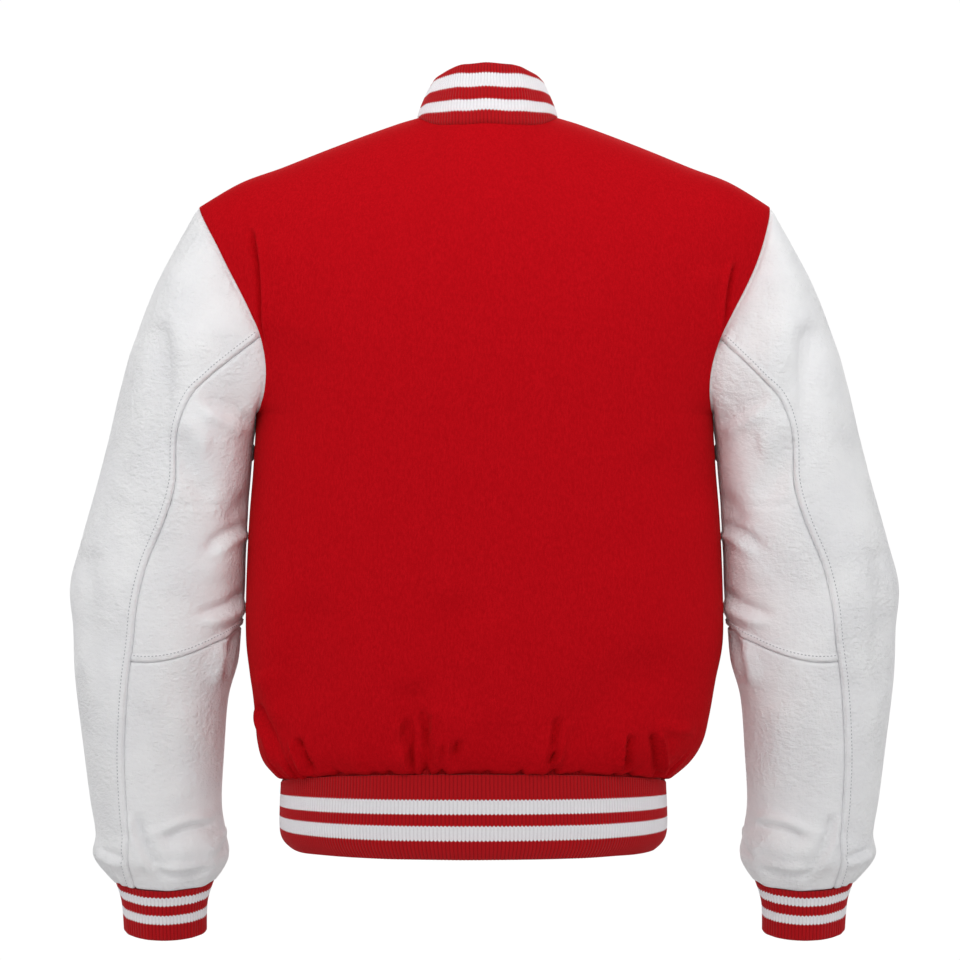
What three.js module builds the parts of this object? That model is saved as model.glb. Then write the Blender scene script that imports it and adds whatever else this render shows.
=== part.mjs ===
import * as THREE from 'three';

// Varsity jacket, filled out as worn, with nobody in it. Millimetres, +Z up.
// The fronts face -Y, the back faces +Y and the wearer's left is +X.
// The origin is the middle of the neck opening, level with its side points.

const WOOL_WALL = 2.8;
const LEATHER_WALL = 2;
const KNIT_WALL = 3.4;
const SEAM_GAP = 0.3;
const QUARTER = Math.PI / 2;

// Torso below the underarm, a row for each ring. side and middle are the ring's heights
// at the side seams and at the middle of the back and front, half is its half width,
// back and front are its depths, and shift moves it to the wearer's left.
const TORSO = [
  { side: -265, middle: -265, half: 204, back: 119, front: 122, shift: 0 },
  { side: -311, middle: -311, half: 206.5, back: 120, front: 124, shift: 0 },
  { side: -362, middle: -360, half: 210.5, back: 121, front: 125, shift: 0 },
  { side: -420, middle: -415, half: 213, back: 123, front: 126, shift: 0 },
  { side: -468, middle: -462, half: 213, back: 125, front: 127, shift: 0 },
  { side: -503, middle: -497, half: 207.5, back: 126, front: 128, shift: 1 },
  { side: -534, middle: -526, half: 203, back: 126, front: 128, shift: 2 },
  { side: -558, middle: -548, half: 199, back: 124, front: 126, shift: 4 },
  { side: -577, middle: -565, half: 190, back: 120, front: 122, shift: 7 },
  { side: -594, middle: -579, half: 172, back: 113, front: 115, shift: 9.5 },
];
const SIDE_SEAM_Y = -5;
const TORSO_SQUARENESS = 2.4;
const SHOULDER_SQUARENESS = 3.2;

// Ridge over the shoulders, at even shares of the half width from the middle out. Inside
// the neck it is only a guide: the neckline cuts the panels off below it. Its first row lies
// beyond the middle, so that the ridge runs level there.
const RIDGE = [
  { x: -25, z: 21 },
  { x: 0, z: 29 },
  { x: 25, z: 21 },
  { x: 51, z: 4.5 },
  { x: 80, z: -5 },
  { x: 112, z: -16.5 },
  { x: 147, z: -30 },
  { x: 183, z: -44.5 },
  { x: 219, z: -58 },
  { x: 256, z: -80 },
];
const RIDGE_MIDDLE = 1;
const SIDE_SPREAD = 1.05;
const SIDE_POWER = 8;
const SHOULDER_ROUNDING = 0.32;
const SHOULDER_POWER = 4;

// Roll of the back and front up to the ridge, and how far below it each is cut at the neck.
const ROLL = {
  back: { base: 0.6, top: 0.55, neck: 0.335 },
  front: { base: 0.5, top: 0.45, neck: 0.56 },
};
const NECK_SHARE = 0.3;
const NECK_SHIFT = -3.5;

// Armhole edges, from the underarm to the shoulder point. rise is the share of the way
// up the panel, left and right the shares of the half width kept on each side.
const ARMHOLE = [
  { rise: 0, left: 1, right: 1 },
  { rise: 0.005, left: 0.986, right: 0.989 },
  { rise: 0.02, left: 0.964, right: 0.973 },
  { rise: 0.06, left: 0.931, right: 0.949 },
  { rise: 0.12, left: 0.91, right: 0.936 },
  { rise: 0.2, left: 0.908, right: 0.939 },
  { rise: 0.28, left: 0.921, right: 0.951 },
  { rise: 0.36, left: 0.934, right: 0.963 },
  { rise: 0.45, left: 0.947, right: 0.974 },
  { rise: 0.55, left: 0.958, right: 0.982 },
  { rise: 0.66, left: 0.971, right: 0.988 },
  { rise: 0.78, left: 0.985, right: 0.994 },
  { rise: 0.89, left: 0.995, right: 0.997 },
  { rise: 1, left: 1, right: 1 },
];
const NECK_COLUMNS = 6;
const SHOULDER_COLUMNS = 14;
const LAP = 15;
const LAP_COLUMNS = 2;
const LAP_RAMP = { from: 62, to: 24 };
const WOOL_LAP_DEPTH = 4;

// Gathers where the body is eased into the hem band. turn is the angle from the middle
// of the back, toward the wearer's left, in degrees, and height is how far each stands out.
const GATHERS = [
  { turn: -60, width: 5, height: 2.5 },
  { turn: -41, width: 4, height: 2 },
  { turn: -18, width: 4, height: 3.5 },
  { turn: -9, width: 3.5, height: 2.5 },
  { turn: 5, width: 3.5, height: 2.5 },
  { turn: 20, width: 4, height: 3 },
  { turn: 34, width: 3.5, height: 2.5 },
  { turn: 52, width: 4, height: 3.5 },
  { turn: 66, width: 5, height: 3.5 },
  { turn: 118, width: 5, height: 3 },
  { turn: 134, width: 4, height: 2.5 },
  { turn: 151, width: 4, height: 3 },
  { turn: 207, width: 4, height: 3 },
  { turn: 224, width: 4, height: 2.5 },
  { turn: 242, width: 5, height: 3 },
];
const GATHER_ROW = 8.3;
const GATHER_SPAN = 1.5;

// Drag folds that run down the back panel beside the armholes, in the panel's own
// terms: from and to are shares of the rise, counted on below the underarm as one for
// every DRAG_ROWS rows, and reach is a share of the half width.
const DRAG_FOLDS = [
  { side: 1, from: 0.95, to: -1.2, reach: 0.86, width: 0.035, height: 3.2 },
  { side: -1, from: 0.75, to: -1, reach: 0.88, width: 0.035, height: 3.2 },
];
const DRAG_FADE = { start: 0.3, end: 0.8 };
const DRAG_ROWS = 2;

// Left sleeve, a row for each section below the armhole. The outer and inner ends of the
// section are seen from behind, y is its middle, deep its half depth, seam the share of
// the way from inner to outer where the back seam lies, and sag how low its middle hangs.
const SLEEVE = [
  { outerX: 291, outerZ: -144, innerX: 207, innerZ: -292, y: -6, deep: 73, seam: 0.414, sag: 0 },
  { outerX: 311, outerZ: -194, innerX: 209, innerZ: -316, y: -7, deep: 72, seam: 0.506, sag: 0 },
  { outerX: 325, outerZ: -240, innerX: 211, innerZ: -340, y: -8, deep: 70, seam: 0.526, sag: 0 },
  { outerX: 336, outerZ: -286, innerX: 212.5, innerZ: -366, y: -9, deep: 68, seam: 0.49, sag: 0 },
  { outerX: 347, outerZ: -328, innerX: 214, innerZ: -394, y: -10, deep: 66, seam: 0.51, sag: 0 },
  { outerX: 361, outerZ: -377, innerX: 215, innerZ: -426, y: -12, deep: 64, seam: 0.56, sag: 0 },
  { outerX: 371.5, outerZ: -418, innerX: 218, innerZ: -456, y: -14, deep: 63, seam: 0.57, sag: 0 },
  { outerX: 369, outerZ: -456, innerX: 221, innerZ: -486, y: -16, deep: 61, seam: 0.596, sag: 0 },
  { outerX: 367.5, outerZ: -500, innerX: 230, innerZ: -519, y: -19, deep: 58, seam: 0.614, sag: 0 },
  { outerX: 361, outerZ: -558, innerX: 234, innerZ: -566, y: -23, deep: 54, seam: 0.66, sag: 0 },
  { outerX: 355, outerZ: -608, innerX: 236.5, innerZ: -613, y: -27, deep: 51, seam: 0.686, sag: 1 },
  { outerX: 350, outerZ: -640, innerX: 232.5, innerZ: -642, y: -29, deep: 49, seam: 0.7, sag: 3 },
  { outerX: 351, outerZ: -660, innerX: 230.5, innerZ: -661, y: -30, deep: 48, seam: 0.71, sag: 6 },
  { outerX: 332.5, outerZ: -682, innerX: 243, innerZ: -682, y: -31, deep: 36, seam: 0.77, sag: 9 },
];
const SLEEVE_SQUARENESS = 2.15;
const TOP_SHARE = 8;
const UNDER_SHARE = 5;
const ELBOW = { atSeam: 8.45, atInner: 6.95 };
const ARMHOLE_CLEAR = 0.4;

// Hem band, collar and cuffs, a row for each ring of knit.
const HEM = [
  { side: -594.5, middle: -579.5, half: 172, back: 113, front: 115, shift: 9.5 },
  { side: -638, middle: -634, half: 172.5, back: 115, front: 117, shift: 9.5 },
  { side: -652, middle: -654.5, half: 162, back: 110, front: 112, shift: 9.5 },
];
const HEM_RIBS = 250;
const HEM_LAP_DEPTH = 5.2;
const COLLAR_HEIGHT = { back: 54, side: 30, front: 24, end: 12 };
const COLLAR_ARCH = 4.8;
const COLLAR_LEAN = 12.5;
const COLLAR_CURL = 1.3;
const COLLAR_RIBS = 100;
const COLLAR_END = 3.09;
const COLLAR_ROUNDING = 0.3;
const COLLAR_ROWS = 2;
const COLLAR_OUT = 0.2;
const COLLAR_CLEAR = 1.4;
const CUFF = [
  { x: 287.7, y: -31, half: 44.6, deep: 36, side: -682, middle: -691 },
  { x: 287.7, y: -31, half: 38.5, deep: 32, side: -702, middle: -710 },
  { x: 287, y: -32, half: 37, deep: 31, side: -729, middle: -736 },
];
const CUFF_RIBS = 64;
const RIB_HEIGHT = 0.8;
const RIB_INSIDE = 4;

const SNAP_RADIUS = 7.5;
const SNAP_HEIGHT = 3;
const SNAP_RIM = 1.2;
const SNAP_DOME = { across: 0.75, up: 0.85 };
const SNAP_SIDES = 12;
const SNAP_LIFT = 0.6;
const SNAPS = { first: -114, last: -618, count: 7 };

// Steps for measuring the way a surface faces, and passes for finding a height on it.
const FACING_STEP = 1e-3;
const SEAT_STEP = 0.02;
const SEAT_PASSES = 40;

const wool = new THREE.MeshStandardMaterial({ color: 0xb0121d, roughness: 0.95, metalness: 0 });
const leather = new THREE.MeshStandardMaterial({ color: 0xe6e6e8, roughness: 0.5, metalness: 0 });
const ribKnit = new THREE.MeshStandardMaterial({ color: 0xa80f19, roughness: 0.9, metalness: 0 });
const snapCap = new THREE.MeshStandardMaterial({ color: 0xe8e8ea, roughness: 0.35, metalness: 0.1 });

function mix(from, to, share) {
  return from + (to - from) * share;
}

function smooth(share) {
  const held = Math.min(Math.max(share, 0), 1);
  return held * held * (3 - 2 * held);
}

function bump(distance, width) {
  return Math.exp(-((distance / width) ** 2));
}

// Smooth curve through four values, between the middle two.
function curve(before, from, to, after, share) {
  const slopeFrom = (to - before) / 2;
  const slopeTo = (after - from) / 2;
  const rest = to - from;
  const square = share * share;
  const cube = square * share;
  return from + slopeFrom * (share - 2 * square + cube)
    + rest * (3 * square - 2 * cube) + slopeTo * (cube - square);
}

// Value of one column of a table at a row that may lie between two.
function column(table, name, row) {
  const last = table.length - 1;
  const held = Math.min(Math.max(row, 0), last);
  const low = Math.min(Math.floor(held), last - 1);
  const value = (index) => table[Math.min(Math.max(index, 0), last)][name];
  return curve(value(low - 1), value(low), value(low + 1), value(low + 2), held - low);
}

// How far a ring stands out in front or behind, as a share of its depth.
function ringFullness(reach, squareness) {
  return Math.max(0, 1 - reach ** squareness) ** (1 / squareness);
}

// A ring of the body or band, at an angle from the middle of the back.
function ring(table, row, turn) {
  const across = Math.sin(turn);
  const isBack = Math.cos(turn) >= 0;
  const depth = column(table, isBack ? 'back' : 'front', row);
  const fullness = ringFullness(Math.abs(across), TORSO_SQUARENESS);
  const side = column(table, 'side', row);
  return new THREE.Vector3(
    column(table, 'shift', row) + column(table, 'half', row) * across,
    SIDE_SEAM_Y + (isBack ? depth : -depth) * fullness,
    mix(side, column(table, 'middle', row), fullness),
  );
}

// The panel above the underarm rises straight and rolls over to the ridge.
function chest(rise, turn) {
  const base = ring(TORSO, 0, turn);
  const across = Math.sin(turn);
  const reach = Math.abs(across);
  const row = mix(RIDGE_MIDDLE, RIDGE.length - 1, reach);
  const shift = NECK_SHIFT * (1 - reach ** 2);
  const top = new THREE.Vector3(
    Math.sign(across) * column(RIDGE, 'x', row) + shift,
    SIDE_SEAM_Y,
    column(RIDGE, 'z', row),
  );
  const isBack = Math.cos(turn) >= 0;
  const roll = isBack ? ROLL.back : ROLL.front;
  const depth = TORSO[0][isBack ? 'back' : 'front'] * ringFullness(reach, SHOULDER_SQUARENESS);
  const first = base.clone();
  first.x = mix(base.x, top.x, SIDE_SPREAD * reach ** SIDE_POWER);
  first.z = mix(base.z, top.z, roll.base);
  const second = top.clone();
  second.y += (isBack ? depth : -depth) * (roll.top + SHOULDER_ROUNDING * reach ** SHOULDER_POWER);
  return new THREE.CubicBezierCurve3(base, first, second, top).getPoint(rise);
}

// Share of the rise at which the neckline cuts a column off.
function neckRise(turn) {
  const reach = Math.min(Math.abs(Math.sin(turn)) / NECK_SHARE, 1);
  const roll = Math.cos(turn) >= 0 ? ROLL.back : ROLL.front;
  return 1 - roll.neck * Math.sqrt(1 - reach ** 2);
}

// Point of the neckline at an angle round the neck from the middle of the back.
function neckPoint(neckTurn) {
  const across = Math.asin(NECK_SHARE * Math.sin(neckTurn));
  const turn = Math.cos(neckTurn) >= 0 ? across : Math.PI - across;
  return chest(neckRise(turn), turn);
}

// Height of the gathers above the hem, at a ring row and an angle.
function gatherHeight(row, turn) {
  const degrees = THREE.MathUtils.euclideanModulo(THREE.MathUtils.radToDeg(turn), 360);
  const fade = bump(row - GATHER_ROW, GATHER_SPAN);
  return GATHERS.reduce((height, gather) => {
    const away = THREE.MathUtils.euclideanModulo(degrees - gather.turn + 180, 360) - 180;
    return height + gather.height * fade * bump(away, gather.width);
  }, 0);
}

// Height of the drag folds. above is positive over the underarm and negative below.
function dragHeight(above, turn) {
  if (Math.cos(turn) < 0) {
    return 0;
  }
  return DRAG_FOLDS.reduce((height, fold) => {
    const start = smooth((fold.from - above) / DRAG_FADE.start);
    const end = smooth((above - fold.to) / DRAG_FADE.end);
    return height + fold.height * start * end * bump(Math.sin(turn) * fold.side - fold.reach, fold.width);
  }, 0);
}

// The body at a level: negative levels are shares of the rise, others are torso rows.
function bodyForm(level, turn) {
  return level < 0 ? chest(-level * neckRise(turn), turn) : ring(TORSO, level, turn);
}

function bodyFold(level, turn) {
  if (level < 0) {
    return dragHeight(-level, turn);
  }
  return gatherHeight(level, turn) + dragHeight(-level / DRAG_ROWS, turn);
}

// Outward normal of a surface at two parameters, kept inside the first one's limits.
function normalOf(surface, a, b, low, high) {
  const after = Math.min(a + FACING_STEP, high);
  const before = Math.max(a - FACING_STEP, low);
  const alongA = surface(after, b).sub(surface(before, b));
  const alongB = surface(a, b + FACING_STEP).sub(surface(a, b - FACING_STEP));
  return alongA.cross(alongB).normalize();
}

function bodyNormal(level, turn) {
  const lastRow = TORSO.length - 1;
  return level < 0
    ? normalOf(chest, -level * neckRise(turn), turn, 0, 1)
    : normalOf((row, angle) => ring(TORSO, row, angle), level, turn, 0, lastRow).negate();
}

// How far the wearer's right front is tucked under the left one.
function lapDepth(x, turn, depth) {
  const onFront = Math.cos(turn) < 0 ? 1 : 0;
  return onFront * depth * smooth((x + LAP_RAMP.from) / (LAP_RAMP.from - LAP_RAMP.to));
}

// Closed wall between an outer and an inner grid of points. Each is a list of rows, and
// the inner one has a point for every few points of the outer one.
function wallMesh(name, material, outer, inner, closed) {
  const points = [...outer.flat(), ...inner.flat()];
  const width = outer[0].length;
  const innerWidth = inner[0].length;
  const height = outer.length;
  const every = closed ? width / innerWidth : (width - 1) / (innerWidth - 1);
  const innerStart = width * height;
  const faces = [];
  const quad = (a, b, c, d) => faces.push([a, b, c], [a, c, d]);
  const out = (row, at) => row * width + (at % width);
  const inn = (row, at) => innerStart + row * innerWidth + (at % innerWidth);
  const outerSteps = closed ? width : width - 1;
  const innerSteps = closed ? innerWidth : innerWidth - 1;
  for (let row = 0; row < height - 1; row += 1) {
    for (let at = 0; at < outerSteps; at += 1) {
      quad(out(row, at), out(row, at + 1), out(row + 1, at + 1), out(row + 1, at));
    }
    for (let at = 0; at < innerSteps; at += 1) {
      quad(inn(row, at), inn(row + 1, at), inn(row + 1, at + 1), inn(row, at + 1));
    }
  }
  const half = Math.floor(every / 2);
  for (const [row, turned] of [[0, false], [height - 1, true]]) {
    const add = (a, b, c) => faces.push(turned ? [a, c, b] : [a, b, c]);
    for (let at = 0; at < innerSteps; at += 1) {
      const start = at * every;
      for (let step = 0; step < every; step += 1) {
        const near = step < half ? inn(row, at) : inn(row, at + 1);
        add(out(row, start + step + 1), out(row, start + step), near);
      }
      add(out(row, start + half), inn(row, at), inn(row, at + 1));
    }
  }
  if (!closed) {
    for (let row = 0; row < height - 1; row += 1) {
      quad(out(row, 0), out(row + 1, 0), inn(row + 1, 0), inn(row, 0));
      const end = width - 1;
      const innerEnd = innerWidth - 1;
      quad(out(row, end), inn(row, innerEnd), inn(row + 1, innerEnd), out(row + 1, end));
    }
  }
  return solidMesh(name, material, points, faces);
}

// Mesh of the faces, turned outward where they enclose a negative volume.
function solidMesh(name, material, points, faces) {
  const volume = faces.reduce((total, [a, b, c]) => {
    const cross = points[b].clone().cross(points[c]);
    return total + points[a].dot(cross);
  }, 0);
  const turned = volume < 0 ? faces.map(([a, b, c]) => [a, c, b]) : faces;
  const geometry = new THREE.BufferGeometry().setFromPoints(points);
  geometry.setIndex(turned.flat());
  geometry.computeVertexNormals();
  const mesh = new THREE.Mesh(geometry, material);
  mesh.name = name;
  return mesh;
}

// Draws the edge points of a grid back from the seams they lie on.
function cutBack(grid, edges) {
  const rows = grid.length - 1;
  const columns = grid[0].length - 1;
  const original = grid.map((line) => line.map((point) => point.clone()));
  const pull = (row, at, nextRow, nextAt) => {
    const way = original[nextRow][nextAt].clone().sub(original[row][at]).normalize();
    grid[row][at].addScaledVector(way, SEAM_GAP / 2);
  };
  for (let row = 0; row <= rows; row += 1) {
    if (edges.first) {
      pull(row, 0, row, 1);
    }
    if (edges.last) {
      pull(row, columns, row, columns - 1);
    }
  }
  for (let at = 0; at <= columns; at += 1) {
    if (edges.top) {
      pull(0, at, 1, at);
    }
    if (edges.bottom) {
      pull(rows, at, rows - 1, at);
    }
  }
}

// Levels of the body's rows, from the shoulder down to the hem seam.
function bodyLevels() {
  const above = ARMHOLE.map((row) => -row.rise).reverse();
  const below = TORSO.map((_, row) => row).slice(1);
  above[above.length - 1] = 0;
  return [...above, ...below];
}

function reachAt(level, side) {
  if (level >= 0) {
    return 1;
  }
  return ARMHOLE.find((row) => row.rise === -level)[side];
}

// Angles of a panel's columns from its middle to its armhole or side seam.
function halfColumns(level, side) {
  const neck = Array.from({ length: NECK_COLUMNS }, (_, at) => (
    Math.asin(NECK_SHARE * Math.sin(QUARTER * at / NECK_COLUMNS))
  ));
  const start = Math.asin(NECK_SHARE);
  const end = Math.asin(reachAt(level, side));
  const shoulder = Array.from({ length: SHOULDER_COLUMNS + 1 }, (_, at) => (
    mix(start, end, at / SHOULDER_COLUMNS)
  ));
  return [...neck, ...shoulder];
}

// Outer and inner points of a body panel whose columns at a level are given as angles.
function bodyPanel(name, columnsAt, lap) {
  const levels = bodyLevels();
  const place = (level, turn, depth) => {
    const point = bodyForm(level, turn);
    const tucked = lap ? lapDepth(point.x, turn, WOOL_LAP_DEPTH) : 0;
    return point.addScaledVector(bodyNormal(level, turn), -depth - tucked);
  };
  const outer = levels.map((level) => columnsAt(level).map((turn) => (
    place(level, turn, -bodyFold(level, turn))
  )));
  const inner = levels.map((level) => columnsAt(level).map((turn) => place(level, turn, WOOL_WALL)));
  const edges = { first: true, last: true, top: true, bottom: true };
  cutBack(outer, edges);
  cutBack(inner, edges);
  const thinned = inner.map((line) => line.filter((_, at) => at % 2 === 0));
  return wallMesh(name, wool, outer, thinned, false);
}

function back() {
  return bodyPanel('back', (level) => {
    const right = halfColumns(level, 'right').slice(1).map((turn) => -turn).reverse();
    return [...right, ...halfColumns(level, 'left')];
  }, false);
}

// A front runs from its side seam to the middle and on by the lap.
function front(side) {
  const sign = side === 'left' ? 1 : -1;
  const lapTurn = Math.asin(LAP / TORSO[0].half);
  return bodyPanel(`front_${side}`, (level) => {
    const half = halfColumns(level, side).reverse();
    const past = Array.from({ length: LAP_COLUMNS }, (_, at) => -lapTurn * (at + 1) / LAP_COLUMNS);
    return [...half, ...past].map((turn) => Math.PI - sign * turn);
  }, side === 'right');
}

// Armhole point by its row, on the back or the front. The right one is mirrored to the left.
function armholePoint(row, isBack, side) {
  const sign = side === 'left' ? 1 : -1;
  const turn = sign * Math.asin(ARMHOLE[row][side]);
  const point = chest(ARMHOLE[row].rise, isBack ? turn : Math.PI - turn);
  return point.setX(sign * point.x + ARMHOLE_CLEAR);
}

// Angle round a sleeve section, 0 at the outer end, for a column counted from the top.
function sleeveAngle(section, columnAt) {
  const seam = Math.acos(2 * section.seam - 1);
  const count = Math.abs(columnAt);
  if (count <= TOP_SHARE) {
    return seam * count / TOP_SHARE;
  }
  return mix(seam, Math.PI, (count - TOP_SHARE) / UNDER_SHARE);
}

// Point of one section of a sleeve, on the left side. Section 0 is the armhole.
function sectionPoint(index, columnAt, side) {
  if (index === 0) {
    const low = Math.floor(Math.abs(columnAt));
    const share = Math.abs(columnAt) - low;
    const lastRow = ARMHOLE.length - 1;
    const isBack = columnAt >= 0;
    const from = armholePoint(lastRow - low, isBack, side);
    return share > 0 ? from.lerp(armholePoint(lastRow - low - 1, isBack, side), share) : from;
  }
  const section = SLEEVE[index - 1];
  const angle = sleeveAngle(section, columnAt);
  const power = 2 / SLEEVE_SQUARENESS;
  const along = Math.sign(Math.cos(angle)) * Math.abs(Math.cos(angle)) ** power;
  const deep = Math.sin(angle) ** power;
  return new THREE.Vector3(
    mix(section.innerX, section.outerX, (1 + along) / 2),
    section.y + Math.sign(columnAt) * section.deep * deep,
    mix(section.innerZ, section.outerZ, (1 + along) / 2) - section.sag * deep,
  );
}

// A sleeve at a level from 0 at the armhole, and a column from the top, back positive.
function sleeve(level, columnAt, side) {
  const last = SLEEVE.length;
  const low = Math.min(Math.floor(level), last - 1);
  const [before, from, to, after] = [-1, 0, 1, 2].map((step) => (
    sectionPoint(Math.min(Math.max(low + step, 0), last), columnAt, side)
  ));
  const share = level - low;
  return new THREE.Vector3(
    curve(before.x, from.x, to.x, after.x, share),
    curve(before.y, from.y, to.y, after.y, share),
    curve(before.z, from.z, to.z, after.z, share),
  );
}

// Way from the outer to the inner side of the leather. At the armhole it keeps off the body.
function sleeveInward(level, columnAt, side) {
  const count = ARMHOLE.length - 1;
  const wrap = (at) => THREE.MathUtils.euclideanModulo(at + count, 2 * count) - count;
  const closed = (row, at) => sleeve(row, wrap(at), side);
  const normal = normalOf(closed, level, columnAt, 0, SLEEVE.length).negate();
  if (level === 0) {
    normal.x = Math.max(normal.x, 0);
    normal.normalize();
  }
  return normal;
}

// One leather panel, from its columns and its levels at each column.
function sleevePanel(side, piece, columns, levelsAt) {
  const rows = levelsAt(columns[0]).length;
  const grid = (depth) => Array.from({ length: rows }, (_, row) => columns.map((at) => {
    const level = levelsAt(at)[row];
    const point = sleeve(level, at, side);
    return point.addScaledVector(sleeveInward(level, at, side), depth);
  }));
  const edges = { first: true, last: true, top: levelsAt(columns[0])[0] > 0, bottom: true };
  const outer = grid(0);
  const inner = grid(LEATHER_WALL);
  cutBack(outer, edges);
  cutBack(inner, edges);
  const mesh = wallMesh(`sleeve_${side}_${piece}`, leather, outer, inner, false);
  return side === 'left' ? mesh : mirroredMesh(mesh);
}

function steps(from, to, count) {
  return Array.from({ length: count + 1 }, (_, at) => mix(from, to, at / count));
}

// Level of the elbow seam at a column of the under sleeve.
function elbowLevel(columnAt) {
  const share = (Math.abs(columnAt) - TOP_SHARE) / UNDER_SHARE;
  return mix(ELBOW.atSeam, ELBOW.atInner, smooth(share));
}

// Levels of the sleeve's rows where they meet the back and front seams.
function seamLevels() {
  const whole = steps(0, SLEEVE.length, SLEEVE.length);
  return [...whole, ELBOW.atSeam].sort((first, second) => first - second);
}

// Levels of the under sleeve's rows at a column, above or below the elbow seam.
function underLevels(columnAt, isForearm) {
  const last = SLEEVE.length;
  const elbow = elbowLevel(columnAt);
  if (isForearm) {
    const stretch = (last - elbow) / (last - ELBOW.atSeam);
    return seamLevels().filter((level) => level >= ELBOW.atSeam)
      .map((level) => last - (last - level) * stretch);
  }
  return seamLevels().filter((level) => level <= ELBOW.atSeam)
    .map((level) => level * elbow / ELBOW.atSeam);
}

function sleevePanels(side) {
  const topColumns = steps(-TOP_SHARE, TOP_SHARE, 2 * TOP_SHARE);
  const underColumns = steps(TOP_SHARE, TOP_SHARE + 2 * UNDER_SHARE, 2 * UNDER_SHARE);
  const count = TOP_SHARE + UNDER_SHARE;
  const wrapped = underColumns.map((at) => (at > count ? at - 2 * count : at));
  return [
    sleevePanel(side, 'top', topColumns, seamLevels),
    sleevePanel(side, 'under', wrapped, (at) => underLevels(at, false)),
    sleevePanel(side, 'forearm', wrapped, (at) => underLevels(at, true)),
  ];
}

// Rib-knit wall: ribs stand out of the outer points, over a plain inner side.
function ribWall(name, levels, turns, surface, normalAt, closed) {
  const rib = (at) => (at % 2 === 0 ? -RIB_HEIGHT / 2 : RIB_HEIGHT / 2);
  const outer = levels.map((level) => turns.map((turn, at) => (
    surface(level, turn).addScaledVector(normalAt(level, turn), rib(at))
  )));
  const inside = turns.filter((_, at) => at % RIB_INSIDE === 0);
  const inner = levels.map((level) => inside.map((turn) => (
    surface(level, turn).addScaledVector(normalAt(level, turn), -KNIT_WALL)
  )));
  cutBack(outer, { top: true });
  cutBack(inner, { top: true });
  return wallMesh(name, ribKnit, outer, inner, closed);
}

function hemBand() {
  const lapTurn = Math.asin(LAP / HEM[0].half);
  const turns = steps(Math.PI + lapTurn, -Math.PI - lapTurn, 2 * HEM_RIBS);
  const surface = (level, turn) => ring(HEM, level, turn);
  const lastRow = HEM.length - 1;
  const normalAt = (level, turn) => normalOf(surface, level, turn, 0, lastRow).negate();
  const tucked = (level, turn) => {
    const point = surface(level, turn);
    const depth = turn < 0 ? lapDepth(point.x, turn, HEM_LAP_DEPTH) : 0;
    return point.addScaledVector(normalAt(level, turn), -depth);
  };
  const levels = HEM.map((_, row) => row);
  return ribWall('hem_band', levels, turns, tucked, normalAt, false);
}

// Collar height at an angle round the neck from the middle of the back.
function collarHeight(turn) {
  const share = Math.abs(turn) / QUARTER;
  const rounded = smooth((COLLAR_END - Math.abs(turn)) / COLLAR_ROUNDING);
  const height = share < 1
    ? mix(COLLAR_HEIGHT.back, COLLAR_HEIGHT.side, Math.abs(Math.sin(turn)) ** COLLAR_ARCH)
    : mix(COLLAR_HEIGHT.side, COLLAR_HEIGHT.front, smooth(share - 1));
  return mix(COLLAR_HEIGHT.end, height, rounded);
}

// Neckline as the panels' straight edges draw it, between their columns.
function neckEdge(turn) {
  const step = QUARTER / NECK_COLUMNS;
  const low = Math.floor(turn / step);
  return neckPoint(low * step).lerp(neckPoint((low + 1) * step), turn / step - low);
}

// The collar stands on the neckline and leans in as it rises.
function collarPoint(level, turn) {
  const share = level / COLLAR_ROWS;
  const point = neckEdge(turn);
  const outward = new THREE.Vector3(Math.sin(turn), Math.cos(turn), 0);
  point.addScaledVector(outward, COLLAR_OUT - COLLAR_LEAN * share ** COLLAR_CURL);
  point.z += COLLAR_CLEAR + collarHeight(turn) * share;
  return point;
}

function collar() {
  const turns = steps(-COLLAR_END, COLLAR_END, 2 * COLLAR_RIBS);
  const normalAt = (level, turn) => normalOf(collarPoint, level, turn, 0, COLLAR_ROWS);
  const levels = steps(0, COLLAR_ROWS, COLLAR_ROWS);
  return ribWall('collar', levels, turns, collarPoint, normalAt, false);
}

function cuff(side) {
  const surface = (level, turn) => {
    const deep = Math.abs(Math.sin(turn));
    return new THREE.Vector3(
      column(CUFF, 'x', level) + column(CUFF, 'half', level) * Math.cos(turn),
      column(CUFF, 'y', level) + column(CUFF, 'deep', level) * Math.sin(turn),
      mix(column(CUFF, 'side', level), column(CUFF, 'middle', level), deep),
    );
  };
  const lastRow = CUFF.length - 1;
  const normalAt = (level, turn) => normalOf(surface, level, turn, 0, lastRow);
  const turns = steps(0, 2 * Math.PI, 2 * CUFF_RIBS).slice(0, -1);
  const levels = CUFF.map((_, row) => row);
  const mesh = ribWall(`cuff_${side}`, levels, turns, surface, normalAt, true);
  return side === 'left' ? mesh : mirroredMesh(mesh);
}

// The same solid on the wearer's other side.
function mirroredMesh(mesh) {
  const position = mesh.geometry.getAttribute('position');
  const points = Array.from({ length: position.count }, (_, at) => (
    new THREE.Vector3().fromBufferAttribute(position, at).multiply(new THREE.Vector3(-1, 1, 1))
  ));
  const index = Array.from(mesh.geometry.getIndex().array);
  const faces = Array.from({ length: index.length / 3 }, (_, at) => index.slice(3 * at, 3 * at + 3));
  return solidMesh(mesh.name, mesh.material, points, faces);
}

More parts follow.
